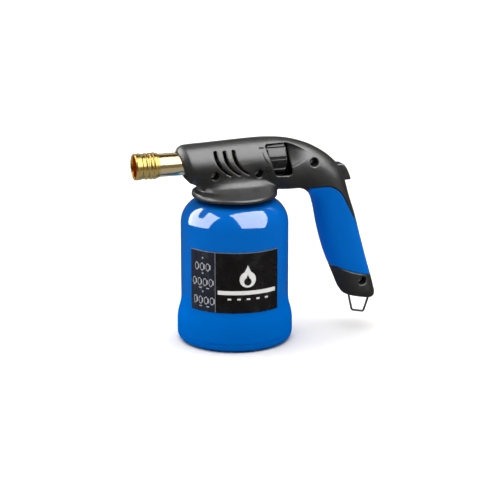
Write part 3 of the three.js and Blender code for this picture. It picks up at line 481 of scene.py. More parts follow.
thread_pitch, thread_turns, bead, bead_fade = 8 * mm, 1.1, 1.15 * mm, 0.04


def rolled_thread(radius, start, finish):
    """A bead that climbs round Z and runs out at both ends."""
    turns = np.linspace(0, thread_turns, 120)
    path = [round_z(radius, math.tau * t, start + thread_pitch * t) for t in turns]
    return swept_along(path, finish, radius=bead, taper=bead_fade)


round_sides = 144
sheet_wall = 0.8 * mm
foot_radius, foot_floor = 7 * mm, 1.2 * mm
spigot_radius = 46.3 * mm
outer_thread_radius, outer_thread_start = spigot_radius + 0.55 * mm, 13.7 * mm
low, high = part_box("base_cup")
base_radius = high.x
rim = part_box("canister_shell")[0].z - 0.3 * mm
foot_middle = (base_radius - foot_radius, foot_radius)
base_outline = [(0, 0)] + arc(foot_middle, foot_radius, -90, 0, 12)[:-1]
base_outline += rounded([
    (base_radius, foot_radius),
    (base_radius, rim),
    (spigot_radius, rim),
    (spigot_radius, high.z),
    (spigot_radius - sheet_wall, high.z),
    (spigot_radius - sheet_wall, foot_floor + foot_radius / 2),
], 0.35 * mm)
base_outline += [(spigot_radius - sheet_wall - foot_radius / 2, foot_floor), (0, foot_floor)]
base_enamel = enamel("base_enamel")
base_mesh = one_mesh(
    turned(base_outline, base_enamel, sides=round_sides),
    rolled_thread(outer_thread_radius, outer_thread_start, base_enamel),
)
add_piece("enamelled_base", base_mesh, base_enamel, "base", "base_paint", "base_cup", sharp=40)

# Canister: a deep-drawn steel shell with a high dome, swaged out below into a wide skirt, and
# enamelled. The valve block is clamped through the hole in its crown.
canister_radius, shoulder_radius = 46 * mm, 22 * mm
flare_top, flare_bottom, flare_round = 33.7 * mm, 22.4 * mm, 6 * mm
crown_hole = 9 * mm
inner_thread_radius, inner_thread_start = 47.85 * mm, 11 * mm
low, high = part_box("canister_shell")


def canister_wall(inset):
    """The wall from the skirt's rim up to the crown, moved inwards by an inset."""
    outline = rounded([
        (base_radius - inset, low.z),
        (base_radius - inset, flare_bottom),
        (canister_radius - inset, flare_top),
        (canister_radius - inset, high.z - shoulder_radius),
    ], flare_round, steps=10)
    middle = (canister_radius - shoulder_radius, high.z - shoulder_radius)
    outline = outline[:-1] + arc(middle, shoulder_radius - inset, 0, 90, 24)
    return outline + [(crown_hole, high.z - inset)]


canister_enamel = enamel("canister_enamel")
canister_outline = canister_wall(0) + canister_wall(sheet_wall)[::-1]
canister_mesh = one_mesh(
    turned(canister_outline + canister_outline[:1], canister_enamel, sides=round_sides),
    rolled_thread(inner_thread_radius, inner_thread_start, canister_enamel),
)
add_piece(
    "enamelled_canister", canister_mesh, canister_enamel,
    "torch", "canister_paint", "canister_shell", sharp=40,
)

# Label: a printed film wrapped round the front of the canister, black, with a column of small
# handling pictures on the left and a plain flame badge over a bar and a row of dashes on the right.
label_low, label_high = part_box("label")
label_gap, label_thickness = 0.3 * mm, 0.3 * mm
label_radius = canister_radius + label_gap
label_half_angle = math.radians(51)
label_facing = camera_azimuth - math.pi / 2
steps_round, steps_up = 64, 24
corners, faces = [], []
for layer in (0, 1):
    reach = label_radius + layer * label_thickness
    for up in np.linspace(label_low.z, label_high.z, steps_up + 1):
        for t in np.linspace(-label_half_angle, label_half_angle, steps_round + 1):
            corners.append(round_z(reach, label_facing + t, up))
wide = steps_round + 1
sheet_size = wide * (steps_up + 1)
for up in range(steps_up):
    for step in range(steps_round):
        a = up * wide + step
        quad = (a, a + 1, a + wide + 1, a + wide)
        faces.append(quad[::-1])
        faces.append(tuple(i + sheet_size for i in quad))
border = list(range(wide))
border += [up * wide + steps_round for up in range(1, steps_up + 1)]
border += [steps_up * wide + step for step in range(steps_round - 1, -1, -1)]
border += [up * wide for up in range(steps_up - 1, 0, -1)]
for a, b in zip(border, border[1:] + border[:1]):
    faces.append((a, b, b + sheet_size, a + sheet_size))
label_mesh = mesh_of(corners, faces)

film = Finish("printed_film", (0.006, 0.006, 0.007))
x, y, z = film.parts(film.where)
ahead = x * math.cos(label_facing) + y * math.sin(label_facing)
aside = y * math.cos(label_facing) - x * math.sin(label_facing)
u = aside.worked("ARCTAN2", ahead) * (label_radius / mm)
v = (z - (label_low.z + label_high.z) / 2) / mm


def bar(left, right, low, high):
    """1 inside an upright rectangle on the label, in its own millimetres."""
    return (u > left) * (u < right) * (v > low) * (v < high)


def ring(centre_u, centre_v, radius, line, narrow=1.0):
    """1 on a line that runs inside a circle, or inside one that is narrowed to an oval."""
    reach = (((u - centre_u) / narrow) ** 2 + (v - centre_v) ** 2) ** 0.5
    return (reach > radius - line) * (reach < radius)


def flame(centre_u, centre_v, radius, rise):
    """A round foot drawn up into a point."""
    across, up = abs(u - centre_u), v - centre_v
    tip = up / rise
    foot = (across**2 + up**2) ** 0.5 < radius
    return foot | (up > 0.0) * (across < (1 - tip) * (1 - tip * 0.3) * radius)


column_edge = -16.2
pictures = bar(column_edge - 0.2, column_edge + 0.2, -26, 26) * 0.55
picture_rows = [(12.5, -34.2, 3, False), (-0.7, -37.0, 4, True), (-16.7, -36.0, 4, True)]
for picture_v, first_u, count, underlined in picture_rows:
    pictures = pictures | ring(-28.0, picture_v + 7.6, 0.9, 0.9) * 0.6
    for item in range(count):
        item_u = first_u + item * 5.6
        pictures = pictures | ring(item_u, picture_v, 3.4, 0.7, narrow=0.55)
        pictures = pictures | bar(item_u + 1.9, item_u + 2.6, picture_v - 2, picture_v + 2)
    for dash_u in (-31.6, -24.4) if underlined else ():
        pictures = pictures | bar(dash_u, dash_u + 2.6, picture_v - 5.6, picture_v - 4.8)
badge_u = 11.5
badge = flame(badge_u, 3.2, 7.0, 12.5) * (1 - flame(badge_u, 1.2, 3.2, 6.4))
badge = badge | bar(-14.0, 38.0, -10.1, -6.6)
for dash_u in (-4, 4, 12, 20.3, 28.5):
    badge = badge | bar(dash_u - 1.5, dash_u + 1.5, -14.6, -13.2)
edge_line = bar(-60, 60, 25.7, 27) * 0.35
print_black, print_navy = (0.006, 0.005, 0.005), (0.012, 0.015, 0.028)
print_grey, print_white = (0.6, 0.62, 0.66), (0.8, 0.8, 0.8)
printed = film.laid_over(u < column_edge, print_black, print_navy)
printed = film.laid_over((pictures | edge_line) * 0.8, printed, print_grey)
film.vary(base_color=film.laid_over(badge, printed, print_white))
film.mottled(9 * mm, 0.2, 0.3)
add_piece("printed_label", label_mesh, film, "torch", "label_print", "label", sharp=40)

# Valve: a machined brass block, clamped by its nut through the canister's crown. The steel needle
# and its rubber seal hang below it, and the knob's stem is packed by an O-ring under the gland nut.
# The brass is painted near black and matt: painted shade for the housing's dark inside.
machined_brass = Finish("machined_brass", (0.1, 0.07, 0.035), metallic=1)
machined_brass.mottled(3 * mm, 0.55, 0.65)
dress(machined_brass, "valve_brass", "valve_body", "jet_pipe", "gas_jet", "air_mixer", "gland_nut")
plated_steel = Finish("plated_steel", (0.55, 0.55, 0.56), metallic=1).mottled(2 * mm, 0.25, 0.42)
dress(plated_steel, "fastener_steel", "clamp_nut")
needle_steel = Finish("needle_steel", (0.62, 0.62, 0.63), metallic=1).mottled(2 * mm, 0.15, 0.25)
dress(needle_steel, "needle_steel", "piercing_needle", "valve_stem", "spark_electrode")
rubber = Finish("seal_rubber", (0.015, 0.015, 0.015)).mottled(1 * mm, 0.6, 0.8)
dress(rubber, "seal_rubber", "needle_seal", "stem_o_ring")


# Burner tube: drawn brass tube, polished and lacquered. It is pressed over the mixer inside the
# barrel, and carries the nozzle head on its front end.
def lie_along_x(mesh, start):
    """Lays a piece turned about Z on the burner's axis, from a start in X."""
    mesh.transform(Matrix.Translation((start, 0, axis_z)) @ Matrix.Rotation(math.pi / 2, 4, "Y"))
    return mesh


axis_z = 156 * mm
tube_radius, tube_wall = 9.8 * mm, 0.7 * mm
low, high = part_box("burner_tube")
tube_outline = rounded([
    (tube_radius - tube_wall, 0),
    (tube_radius, 0),
    (tube_radius, high.x - low.x),
    (tube_radius - tube_wall, high.x - low.x),
    (tube_radius - tube_wall, 0),
], 0.2 * mm)
polished_brass = Finish("polished_brass", (0.88, 0.68, 0.36), metallic=1)
x, y, z = polished_brass.parts(polished_brass.where)
squeezed = polished_brass.node("ShaderNodeCombineXYZ", {}, (x, y * 0.02, z * 0.02))
drawn_lines = polished_brass.noise(0.5 * mm, where=squeezed)
polished_brass.vary(roughness=polished_brass.between(drawn_lines, 0.15, 0.22))
tube_mesh = lie_along_x(turned(tube_outline, polished_brass, sides=96), low.x)
add_piece("brass_tube", tube_mesh, polished_brass, "torch", "tube_brass", "burner_tube", sharp=40)

# Nozzle head: turned from brass bar, with a raised front ring, a bead between two grooves and a
# collar at the back that is pressed on the tube. The flame disc sits inside.
nozzle_shares = [
    (0, 0.935), (0.05, 1), (0.25, 1), (0.3, 0.945), (0.42, 0.945), (0.46, 0.99), (0.52, 0.99),
    (0.56, 0.945), (0.61, 0.945), (0.65, 1), (0.71, 1), (0.75, 0.95), (0.79, 1), (0.89, 1),
    (0.9, 0.93), (1, 0.93),
]
nozzle_radius, nozzle_bore, mouth_radius = 11.2 * mm, 9 * mm, 9.7 * mm
nozzle_socket, socket_radius = 4 * mm, tube_radius + 0.3 * mm
low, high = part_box("burner_nozzle")
nozzle_length = high.x - low.x
nozzle_outline = [(nozzle_radius * r, nozzle_length * x) for x, r in nozzle_shares]
nozzle_outline += [
    (socket_radius, nozzle_length),
    (socket_radius, nozzle_length - nozzle_socket),
    (nozzle_bore, nozzle_length - nozzle_socket),
    (nozzle_bore, nozzle_radius - mouth_radius),
    (mouth_radius, 0),
    nozzle_outline[0],
]
bright_brass, heated_brass = (0.75, 0.52, 0.16), (0.9, 0.42, 0.05)
nozzle_brass = Finish("nozzle_brass", bright_brass, metallic=1).mottled(4 * mm, 0.24, 0.32)
_, y, z = nozzle_brass.parts(nozzle_brass.where)
in_bore = (y**2 + (z - axis_z) ** 2) ** 0.5 < (nozzle_bore + mouth_radius) / 2
nozzle_brass.vary(base_color=nozzle_brass.laid_over(in_bore, bright_brass, heated_brass))
nozzle_mesh = lie_along_x(turned(rounded(nozzle_outline, 0.3 * mm), nozzle_brass, sides=96), low.x)
add_piece(
    "brass_nozzle", nozzle_mesh, nozzle_brass, "torch", "nozzle_brass", "burner_nozzle", sharp=35
)
dress(nozzle_brass, "nozzle_brass", "flame_disc")

# Spark gap: a steel electrode in a ceramic sleeve, which the mixer's top air hole holds. A lead
# runs from it inside the housing to the piezo unit.
ceramic = Finish("ceramic", (0.8, 0.78, 0.72), coat_weight=0.5, coat_roughness=0.1)
ceramic.mottled(2 * mm, 0.3, 0.45)
dress(ceramic, "ceramic", "electrode_insulator")


def curve_through(rows, steps):
    """Rows of numbers with a smooth curve through them filled in."""
    rows = np.array(rows, float)
    padded = np.vstack([2 * rows[0] - rows[1], rows, 2 * rows[-1] - rows[-2]])
    filled = []
    for a, b, c, d in zip(padded, padded[1:], padded[2:], padded[3:]):
        for t in np.arange(steps) / steps:
            bend = (2 * a - 5 * b + 4 * c - d) + t * (3 * (b - c) + d - a)
            filled.append(b + 0.5 * t * ((c - a) + t * bend))
    return np.array(filled + [rows[-1]])


lead_radius = 1.2 * mm
lead_route = np.array([
    (-25.7, 0, 161.9), (-22.1, 0, 161.9), (-16.2, 5.65, 160.7), (-12.6, 11.3, 156),
    (-7.8, 11.3, 150.5), (-1.2, 11.3, 149.3), (4.5, 11.3, 148.1), (10.2, 11.3, 142.1),
    (16.2, 10.1, 138.2), (24.4, 5.65, 138.2), (33.4, 2.8, 138.2), (42.4, 0, 138.2), (52.4, 0, 139),
    (55.7, 0, 139),
]) * mm
lead_jacket = Finish("lead_jacket", (0.018, 0.018, 0.018), roughness=0.45)
lead_jacket.grained(0.5 * mm, 0.02 * mm)
lead_mesh = swept_along(curve_through(lead_route, 10), lead_jacket, radius=lead_radius)
add_piece(
    "ignition_lead", lead_mesh, lead_jacket, "torch", "lead_insulation", "ignition_cable", sharp=60
)

# Piezo unit: a bought-in igniter, moulded in black plastic, whose plunger the button pushes in. It
# lies in the handle between ribs of the two shells.
igniter_plastic = Finish("igniter_plastic", (0.02, 0.02, 0.022)).mottled(3 * mm, 0.4, 0.55)
dress(igniter_plastic, "piezo_plastic", "piezo_unit", "piezo_plunger")


# Housing: two shells moulded in charcoal plastic with a fine grain, which form the barrel, the
# collar and the handle. They meet on a seam down the middle and clasp the valve block and igniter.
def ruler(low, high, step):
    """Evenly spaced places that reach from low to high."""
    return low + step * np.arange(int(math.ceil((high - low) / step)) + 1)


def skin(field, low, step, rounds=2):
    """Corners and faces where a field of distances changes sign, with its steps smoothed away."""
    inside = field < 0
    sizes = np.array(field.shape) - 1
    corners = [(i, j, k) for i in (0, 1) for j in (0, 1) for k in (0, 1)]
    windows = [tuple(slice(o, o + n) for o, n in zip(c, sizes)) for c in corners]
    full = sum(inside[w].astype(np.int8) for w in windows)
    cells = np.argwhere((full > 0) & (full < 8))
    number = np.full(sizes, -1)
    number[tuple(cells.T)] = np.arange(len(cells))
    value = {c: field[tuple((cells + c).T)] for c in corners}
    total, count = np.zeros((len(cells), 3)), np.zeros(len(cells))
    for a in corners:
        for axis in (0, 1, 2):
            if a[axis]:
                continue
            b = tuple(v + (i == axis) for i, v in enumerate(a))
            cut = (value[a] < 0) != (value[b] < 0)
            share = value[a][cut] / (value[a][cut] - value[b][cut])
            place = np.tile(np.array(a, float), (len(share), 1))
            place[:, axis] = share
            total[cut] += place
            count[cut] += 1
    points = np.array(low) + step * (cells + total / count[:, None])
    quads = []
    for axis in (0, 1, 2):
        b, c = (axis + 1) % 3, (axis + 2) % 3
        edges = np.argwhere(np.diff(inside.astype(np.int8), axis=axis) != 0)
        outward = inside[tuple(edges.T)]
        ring = []
        for back_b, back_c in ((1, 1), (0, 1), (0, 0), (1, 0)):
            beside = edges.copy()
            beside[:, b] -= back_b
            beside[:, c] -= back_c
            ring.append(number[tuple(beside.T)])
        ring = np.array(ring).T
        ring[~outward] = ring[~outward][:, ::-1]
        quads.append(ring)
    quads = np.vstack(quads)
    pairs = np.vstack([quads[:, [i, (i + 1) % 4]] for i in range(4)])
    share = np.bincount(pairs[:, 0], minlength=len(points))[:, None]
    for pull in (0.5, -0.52) * rounds:
        sums = [np.bincount(pairs[:, 0], points[pairs[:, 1], i], len(points)) for i in range(3)]
        points = points + pull * (np.array(sums).T / share - points)
    return points, quads.tolist()


def overlap(*bodies):
    """The distance to what several bodies share, with a sharp edge."""
    return functools.reduce(np.maximum, bodies)


def joined(a, b, soft):
    """The distance to two bodies at once, with a fillet of about this size where they meet."""
    fillet = np.maximum(soft - np.abs(a - b), 0)
    return np.minimum(a, b) - fillet * fillet / (4 * soft)


def common(a, b, soft):
    """The distance to what two bodies share, with a softened edge."""
    return -joined(-a, -b, soft)


def without(body, tool, soft=0.4 * mm):
    """The distance to a body that a tool has cut, with softened edges."""
    return -joined(-body, tool, soft)


def outline_distance(outline, x, z):
    """How far places lie outside a closed outline, with a minus sign inside it."""
    nearest = np.full(np.broadcast(x, z).shape, 1.0)
    odd = np.zeros(nearest.shape, bool)
    for (ax, az), (bx, bz) in zip(outline, outline[1:] + outline[:1]):
        wx, wz = bx - ax, bz - az
        t = np.clip(((x - ax) * wx + (z - az) * wz) / (wx * wx + wz * wz), 0, 1)
        nearest = np.minimum(nearest, np.hypot(x - ax - t * wx, z - az - t * wz))
        if az != bz:
            odd ^= ((az > z) != (bz > z)) & (x < ax + wx * (z - az) / wz)
    return np.where(odd, -nearest, nearest)


def true_distance(field, step):
    """A field that is zero on a body's surface, scaled so that it measures distance beside it."""
    slope = np.sqrt(sum(g * g for g in np.gradient(field, step)))
    return np.clip(field / np.maximum(slope, 1.0), -20 * mm, 20 * mm)


barrel_reach, knee_reach, barrel_radius, barrel_taper = 48 * mm, 41 * mm, 18 * mm, 0.11
handle_reach, handle_drop = 88 * mm, 134 * mm
half_width, barrel_squareness, handle_squareness = 17 * mm, 2.05, 2.35
collar_radius, collar_bottom, collar_ceiling = 36.3 * mm, 125.5 * mm, 153 * mm
neck_rise, neck_fillet = 24.5 * mm, 3.5 * mm
shell_wall, hollow_top = 2.4 * mm, 150 * mm
grip_thickness, grip_blend = 2 * mm, 30 * mm
seam = 0.1 * mm
# Each barrel row: the underside point and the top point, as the share of the way from the mouth to
# the knee and of the radius below or above the axis, then the share of the half width.
barrel_shares = [
    (0.034, 0.578, -0.034, 0.572, 0.64),
    (0.049, 0.722, -0.022, 0.717, 0.74),
    (0.079, 0.872, 0.011, 0.845, 0.865),
    (0.119, 0.967, 0.067, 0.9, 0.94),
    (0.292, 0.978, 0.27, 0.935, 0.955),
    (0.539, 1, 0.539, 0.99, 0.97),
    (0.775, 1.056, 0.775, 1.022, 0.985),
    (0.876, 1.333, 0.876, 1.006, 0.99),
    (0.966, 1.533, 0.966, 0.972, 0.99),
]
# Each handle row: the same two points as shares of the handle's reach and drop, then the share of
# the half width.
handle_shares = [
    (0.045, -0.21, 0.068, 0.119, 0.99),
    (0.125, -0.211, 0.182, 0.099, 0.985),
    (0.182, -0.212, 0.307, 0.067, 0.98),
    (0.233, -0.222, 0.443, 0.015, 0.975),
    (0.27, -0.239, 0.545, -0.043, 0.965),
    (0.303, -0.26, 0.605, -0.093, 0.955),
    (0.325, -0.287, 0.643, -0.149, 0.94),
    (0.34, -0.321, 0.669, -0.205, 0.93),
    (0.357, -0.373, 0.7, -0.276, 0.915),
    (0.379, -0.451, 0.757, -0.388, 0.9),
    (0.41, -0.537, 0.797, -0.481, 0.89),
    (0.446, -0.619, 0.834, -0.571, 0.885),
    (0.487, -0.694, 0.87, -0.657, 0.88),
    (0.53, -0.761, 0.904, -0.735, 0.87),
    (0.573, -0.828, 0.939, -0.813, 0.86),
    (0.614, -0.892, 0.973, -0.896, 0.84),
    (0.639, -0.919, 0.988, -0.937, 0.8),
    (0.66, -0.939, 0.986, -0.966, 0.68),
    (0.686, -0.951, 0.962, -0.988, 0.45),
]
# Each neck row: the share of the rise from the collar's rim, then the shares of the collar's
# radius forwards, backwards and sideways.
neck_shares = [
    (0, 0.975, 0.975, 0.975),
    (0.03, 1, 1, 1),
    (0.09, 1, 1, 1),
    (0.13, 1, 1.003, 0.985),
    (0.17, 1, 1.008, 0.93),
    (0.21, 0.985, 1.014, 0.865),
    (0.245, 0.92, 1.02, 0.81),
    (0.28, 0.87, 1.024, 0.75),
    (0.355, 0.895, 1.045, 0.635),
    (0.41, 0.925, 1.058, 0.56),
    (0.47, 0.965, 1.06, 0.51),
    (0.55, 1.03, 1.04, 0.475),
    (0.63, 1.06, 1, 0.46),
    (0.72, 1.08, 1, 0.45),
    (0.84, 1.06, 1, 0.44),
    (1, 1, 0.95, 0.425),
    (1.13, 1, 0.9, 0.4),
]


def in_handle(x, z):
    """A place given as shares of the handle's reach and drop."""
    return knee_reach + x * handle_reach, axis_z + z * handle_drop


def on_barrel(along, up):
    """A place given as shares of the barrel's length and radius."""
    return along * (barrel_reach + knee_reach) - barrel_reach, axis_z + up * barrel_radius


housing_rows = []
for low_along, down, high_along, up, wide in barrel_shares:
    ends = (*on_barrel(low_along, -down), *on_barrel(high_along, up))
    housing_rows.append((*ends, wide * half_width, barrel_squareness))
for low_x, low_z, high_x, high_z, wide in handle_shares:
    ends = (*in_handle(low_x, low_z), *in_handle(high_x, high_z))
    housing_rows.append((*ends, wide * half_width, handle_squareness))
fill = 12
sections = curve_through(housing_rows, fill)

cell = 0.66 * mm
grid_low = np.array((-54, -37.8, 20)) * mm
grid_high = np.array((130, 1.6, 176.5)) * mm
line_x, line_y, line_z = (ruler(a, b, cell) for a, b in zip(grid_low, grid_high))
side_x, side_z = line_x[:, None], line_z[None, :]


def heading(section):
    """The direction from a section's lower end to its upper one."""
    return (section[2:4] - section[:2]) / np.linalg.norm(section[2:4] - section[:2])


def past(section):
    """How far the places of the side view lie past a section's line."""
    way = heading(section)
    return (side_x - section[0]) * way[1] - (side_z - section[1]) * way[0]


def shifted(section, distance):
    """The section moved square to its line."""
    way = heading(section)
    moved = section.copy()
    moved[:4] += distance * np.array((way[1], -way[0], way[1], -way[0]))
    return moved


# Each place in the side view lies between two sections. Its lift is -1 at their lower ends and 1 at
# their upper ones, and the half width and the squareness of the cross section are worked out there.
lift = np.full((len(line_x), len(line_z)), 3.0)
widths = np.full(lift.shape, half_width)
squareness = np.full(lift.shape, 2.0)
stretched = [shifted(sections[0], -3 * mm), *sections, shifted(sections[-1], 3 * mm)]
before = past(stretched[0])
for section, following in zip(stretched, stretched[1:]):
    after = past(following)
    spots = np.nonzero((before >= 0) & (after < 0))
    t = before[spots] / (before[spots] - after[spots])
    here = section + t[:, None] * (following - section)
    way = (here[:, 2:4] - here[:, :2]) / 2
    middle = (here[:, 2:4] + here[:, :2]) / 2
    places = np.stack([line_x[spots[0]], line_z[spots[1]]], 1)
    rise = ((places - middle) * way).sum(1) / (way * way).sum(1)
    nearer = np.abs(rise) < np.abs(lift[spots])
    chosen = tuple(axis[nearer] for axis in spots)
    lift[chosen] = rise[nearer]
    widths[chosen], squareness[chosen] = here[nearer, 4:6].T
    before = after

x = line_x[:, None, None]
y = line_y[None, :, None]
z = line_z[None, None, :]
power = squareness[:, None, :]
handle_share = np.clip(past(sections[len(barrel_shares) * fill]) / grip_blend, 0, 1)
widths *= 1 - barrel_taper * (1 - handle_share) * np.clip(lift, -1, 1)
ring_share = np.abs(lift)[:, None, :] ** power + np.abs(y / widths[:, None, :]) ** power
body = true_distance(ring_share ** (1 / power) - 1, cell)
mouth_cap = -past(sections[0])[:, None, :]
heel_cap = past(sections[-1])[:, None, :]
hollow_cap = np.maximum(-past(sections[3 * fill]), past(sections[-1 - 3 * fill]))[:, None, :]

neck = curve_through(neck_shares, fill)
rise = (line_z - collar_bottom) / neck_rise
front, rear, side = (np.interp(rise, neck[:, 0], neck[:, i]) * collar_radius for i in (1, 2, 3))
reach = np.where(x < 0, front, rear)
collar = true_distance(np.hypot(x / reach, y / side) - 1, cell)

outer_barrel = common(np.maximum(body, mouth_cap), heel_cap, 1.6 * mm)
outer_collar = common(collar, np.maximum(collar_bottom - z, z - collar_ceiling), 0.8 * mm)
outside = joined(outer_barrel, outer_collar, neck_fillet)
wall = shell_wall + grip_thickness * handle_share[:, None, :]
barrel_hollow = np.maximum(body + wall, hollow_cap)
collar_hollow = np.maximum(collar + shell_wall, z - hollow_top)
shell = np.maximum(outside, -joined(barrel_hollow, collar_hollow, 2 * mm))

# Inside the shells: ribs for the igniter and the button, plates that hold the valve block, webs
# over the spark gap and behind the knob's window, a floor under the scoop, and the screws' pillars.
scoop_start, scoop_end = 42.3 * mm, 63.5 * mm
scoop_middle, scoop_half, scoop_depth = axis_z + 3.4 * mm, 10.3 * mm, 8 * mm
scoop_floor = 1.8 * mm


def thumb_scoop(grow):
    """The bowl that a thumb reaches through behind the knob, deepest beside the window."""
    share = np.clip((x - scoop_start) / (scoop_end - scoop_start), 0, 1)
    half_high = scoop_half * (1 - share**1.3) ** 0.9
    off_middle = np.abs(z - scoop_middle)
    bowl = np.clip(1 - (off_middle / (half_high + 1 * mm)) ** 2, 0, 1)
    depth = scoop_depth * (1 - share) ** 1.5 * bowl
    ends = np.maximum(scoop_start - x, x - scoop_end)
    return overlap(-(body + depth), off_middle - half_high, ends) - grow


def block(x0, x1, y0, y1, z0, z1):
    """The distance to a block whose faces are given in millimetres."""
    spans = ((x, x0, x1), (np.abs(y), y0, y1), (z, z0, z1))
    return overlap(*[np.maximum(first * mm - at, at - last * mm) for at, first, last in spans])


igniter_low, igniter_high = (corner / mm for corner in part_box("piezo_unit"))
button_low, button_high = (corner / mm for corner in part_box("ignition_button"))
low_z, high_z = igniter_low.z, igniter_high.z
igniter_room = block(igniter_low.x, igniter_high.x, -1, 5.3, low_z - 0.3, high_z + 0.3)
inner_limit = outside + shell_wall / 2
for rib_x in (igniter_low.x + 2, igniter_high.x - 4):
    rib = block(rib_x, rib_x + 2, 0, 20, low_z - 2, high_z + 2)
    shell = np.minimum(shell, overlap(rib, -igniter_room, inner_limit))
stop_rib = block(89.3, 91.3, 0, 20, button_low.z, button_high.z)
cradle = block(-2, 2, 9.8, 20, 152, 158)
spark_web = block(-19, -14.6, -1, 1.5, 159.7, 175)
window_web = block(43, 48, -1, 1.5, 142.5, 175)
for rib in (stop_rib, cradle, spark_web, window_web, thumb_scoop(scoop_floor)):
    shell = np.minimum(shell, np.maximum(rib, inner_limit))
screw_places = [
    (-0.444 * barrel_reach, axis_z - 0.53 * barrel_radius),
    (0.363 * barrel_reach, axis_z - 0.54 * barrel_radius),
    in_handle(0.289, -0.028),
    in_handle(0.812, -0.844),
]
pillar_radius = 3.85 * mm
screw_radii = [np.hypot(x - at_x, z - at_z) for at_x, at_z in screw_places]
for radius in screw_radii:
    shell = joined(shell, np.maximum(radius - pillar_radius, inner_limit), 0.5 * mm)

# Openings in the shells: the mouth, the knob's window with its scoop, the vents, the button's hole,
# the recess for the grip, and the slots and bores for the bail.
off_axis = np.hypot(y, z - axis_z)
knob_low, knob_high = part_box("gas_knob")
knob_middle = (knob_low.x + knob_high.x) / 2
knob_length = knob_high.x - knob_low.x
window_x = knob_middle + 3 * mm
window_tall, window_lean = 13.25 * mm, 2.65 * mm
window_top_half, window_bottom_half = 10.5 * mm, 7.3 * mm
window_outline = rounded([
    (window_x - window_lean - window_top_half, axis_z + window_tall),
    (window_x - window_lean + window_top_half, axis_z + window_tall),
    (window_x + window_lean + window_bottom_half, axis_z - window_tall),
    (window_x + window_lean - window_bottom_half, axis_z - window_tall),
], 3 * mm, closed=True)
window = outline_distance(window_outline, side_x, side_z)[:, None, :]
mouth_bore, knob_room, knob_gap = 10.1 * mm, 15.4 * mm, 1.2 * mm
shell = without(shell, np.maximum(off_axis - mouth_bore, x))
past_knob = np.abs(x - knob_middle) - knob_length / 2 - knob_gap
shell = without(shell, np.maximum(off_axis - knob_room, past_knob))
shell = without(shell, thumb_scoop(0), 0.6 * mm)
shell = without(shell, window, 1.0 * mm)
vent_first, vent_spacing, vent_lean = -20.7 * mm, 7.9 * mm, 12.3 * mm
vent_top, vent_drop, vent_half = axis_z + 9.6 * mm, 19.2 * mm, 1.3 * mm
for vent in range(3):
    stroke = np.full(lift.shape, 1.0)
    for t in np.linspace(0, 1, 40):
        half = vent_half * (1 - 0.5 * t**1.5)
        centre_x = vent_first + vent * vent_spacing + vent_lean * t**2.5
        centre_z = vent_top - vent_drop * t
        stroke = np.minimum(stroke, np.hypot(side_x - centre_x, side_z - centre_z) - half)
    shell = without(shell, stroke[:, None, :], 0.7 * mm)
for first_x, last_x, half_y in ((89, 140, 5.9), (button_low.x - 5.3, 89.3, 7.2)):
    room = block(first_x, last_x, -1, half_y, button_low.z - 0.3, button_high.z + 0.3)
    shell = without(shell, room)

grip_shares = [
    (0.262, -0.197), (0.45, -0.19), (0.54, -0.221), (0.588, -0.253), (0.637, -0.313),
    (0.694, -0.382), (0.765, -0.454), (0.87, -0.6), (0.95, -0.781), (0.95, -0.823),
    (0.7625, -0.791), (0.6625, -0.77), (0.543, -0.737), (0.386, -0.737), (0.159, -0.5),
    (0.27, -0.257),
]
grip_outline = rounded([in_handle(*place) for place in grip_shares], 3 * mm, closed=True)
grip_zone = outline_distance(grip_outline, side_x, side_z)[:, None, :]
back_strip = 5 * mm
grip_zone = np.where(lift[:, None, :] > 0, np.maximum(grip_zone, y + back_strip), grip_zone)
shell = without(shell, np.maximum(grip_zone, -(body + grip_thickness + 0.3 * mm)), 0.3 * mm)

bail_place = Vector((*in_handle(0.835, -0.953), 0)).xzy
bail_tilt = math.radians(12)
slot_inner, slot_outer, slot_half = 5.4 * mm, 11.4 * mm, 4.6 * mm
slot_below, slot_above = 6.8 * mm, 1.2 * mm
bore_radius, bore_end = 1.2 * mm, 12.3 * mm
bail_x = (x - bail_place.x) * math.cos(bail_tilt) - (z - bail_place.z) * math.sin(bail_tilt)
bail_z = (x - bail_place.x) * math.sin(bail_tilt) + (z - bail_place.z) * math.cos(bail_tilt)
slot_x = np.maximum(slot_inner - np.abs(bail_x), np.abs(bail_x) - slot_outer)
slot_z = np.maximum(-slot_below - bail_z, bail_z - slot_above)
slot = overlap(slot_x, np.abs(y) - slot_half, slot_z)
bore = np.maximum(np.hypot(y, bail_z) - bore_radius, np.abs(bail_x) - bore_end)
shell = without(shell, np.minimum(slot, bore), 0.3 * mm)

# The screws' heads sit in deep counterbores in the left shell, and their threads bite in the right
# one. A rib in the right shell keeps the lead off its vent.
screw_seat, screw_hole, hole_depth = -3.4 * mm, 1.85 * mm, 10.9 * mm
counterbore, counterbore_wall, sleeve_end = 3.7 * mm, 1.4 * mm, 2 * mm
lead_guard = np.maximum(block(-15.5, -8.5, 12.8, 20, 153.5, 163.5), inner_limit)
left_shell, right_shell = shell, np.minimum(shell, lead_guard)
for radius in screw_radii:
    sleeve = overlap(radius - counterbore - counterbore_wall, y + sleeve_end, inner_limit)
    left_shell = joined(left_shell, sleeve, 0.5 * mm)
    left_shell = without(left_shell, np.maximum(radius - counterbore, y - screw_seat), 0.5 * mm)
    left_shell = without(left_shell, radius - screw_hole)
    right_shell = without(right_shell, np.maximum(radius - screw_hole, -y - hole_depth))


def moulded(name, colour, roughness, grain, **numbers):
    """Moulded plastic with a fine spark-eroded grain."""
    finish = Finish(name, colour, **numbers).mottled(5 * mm, roughness - 0.05, roughness + 0.05)
    return finish.grained(grain, 0.03 * mm, detail=1.0)


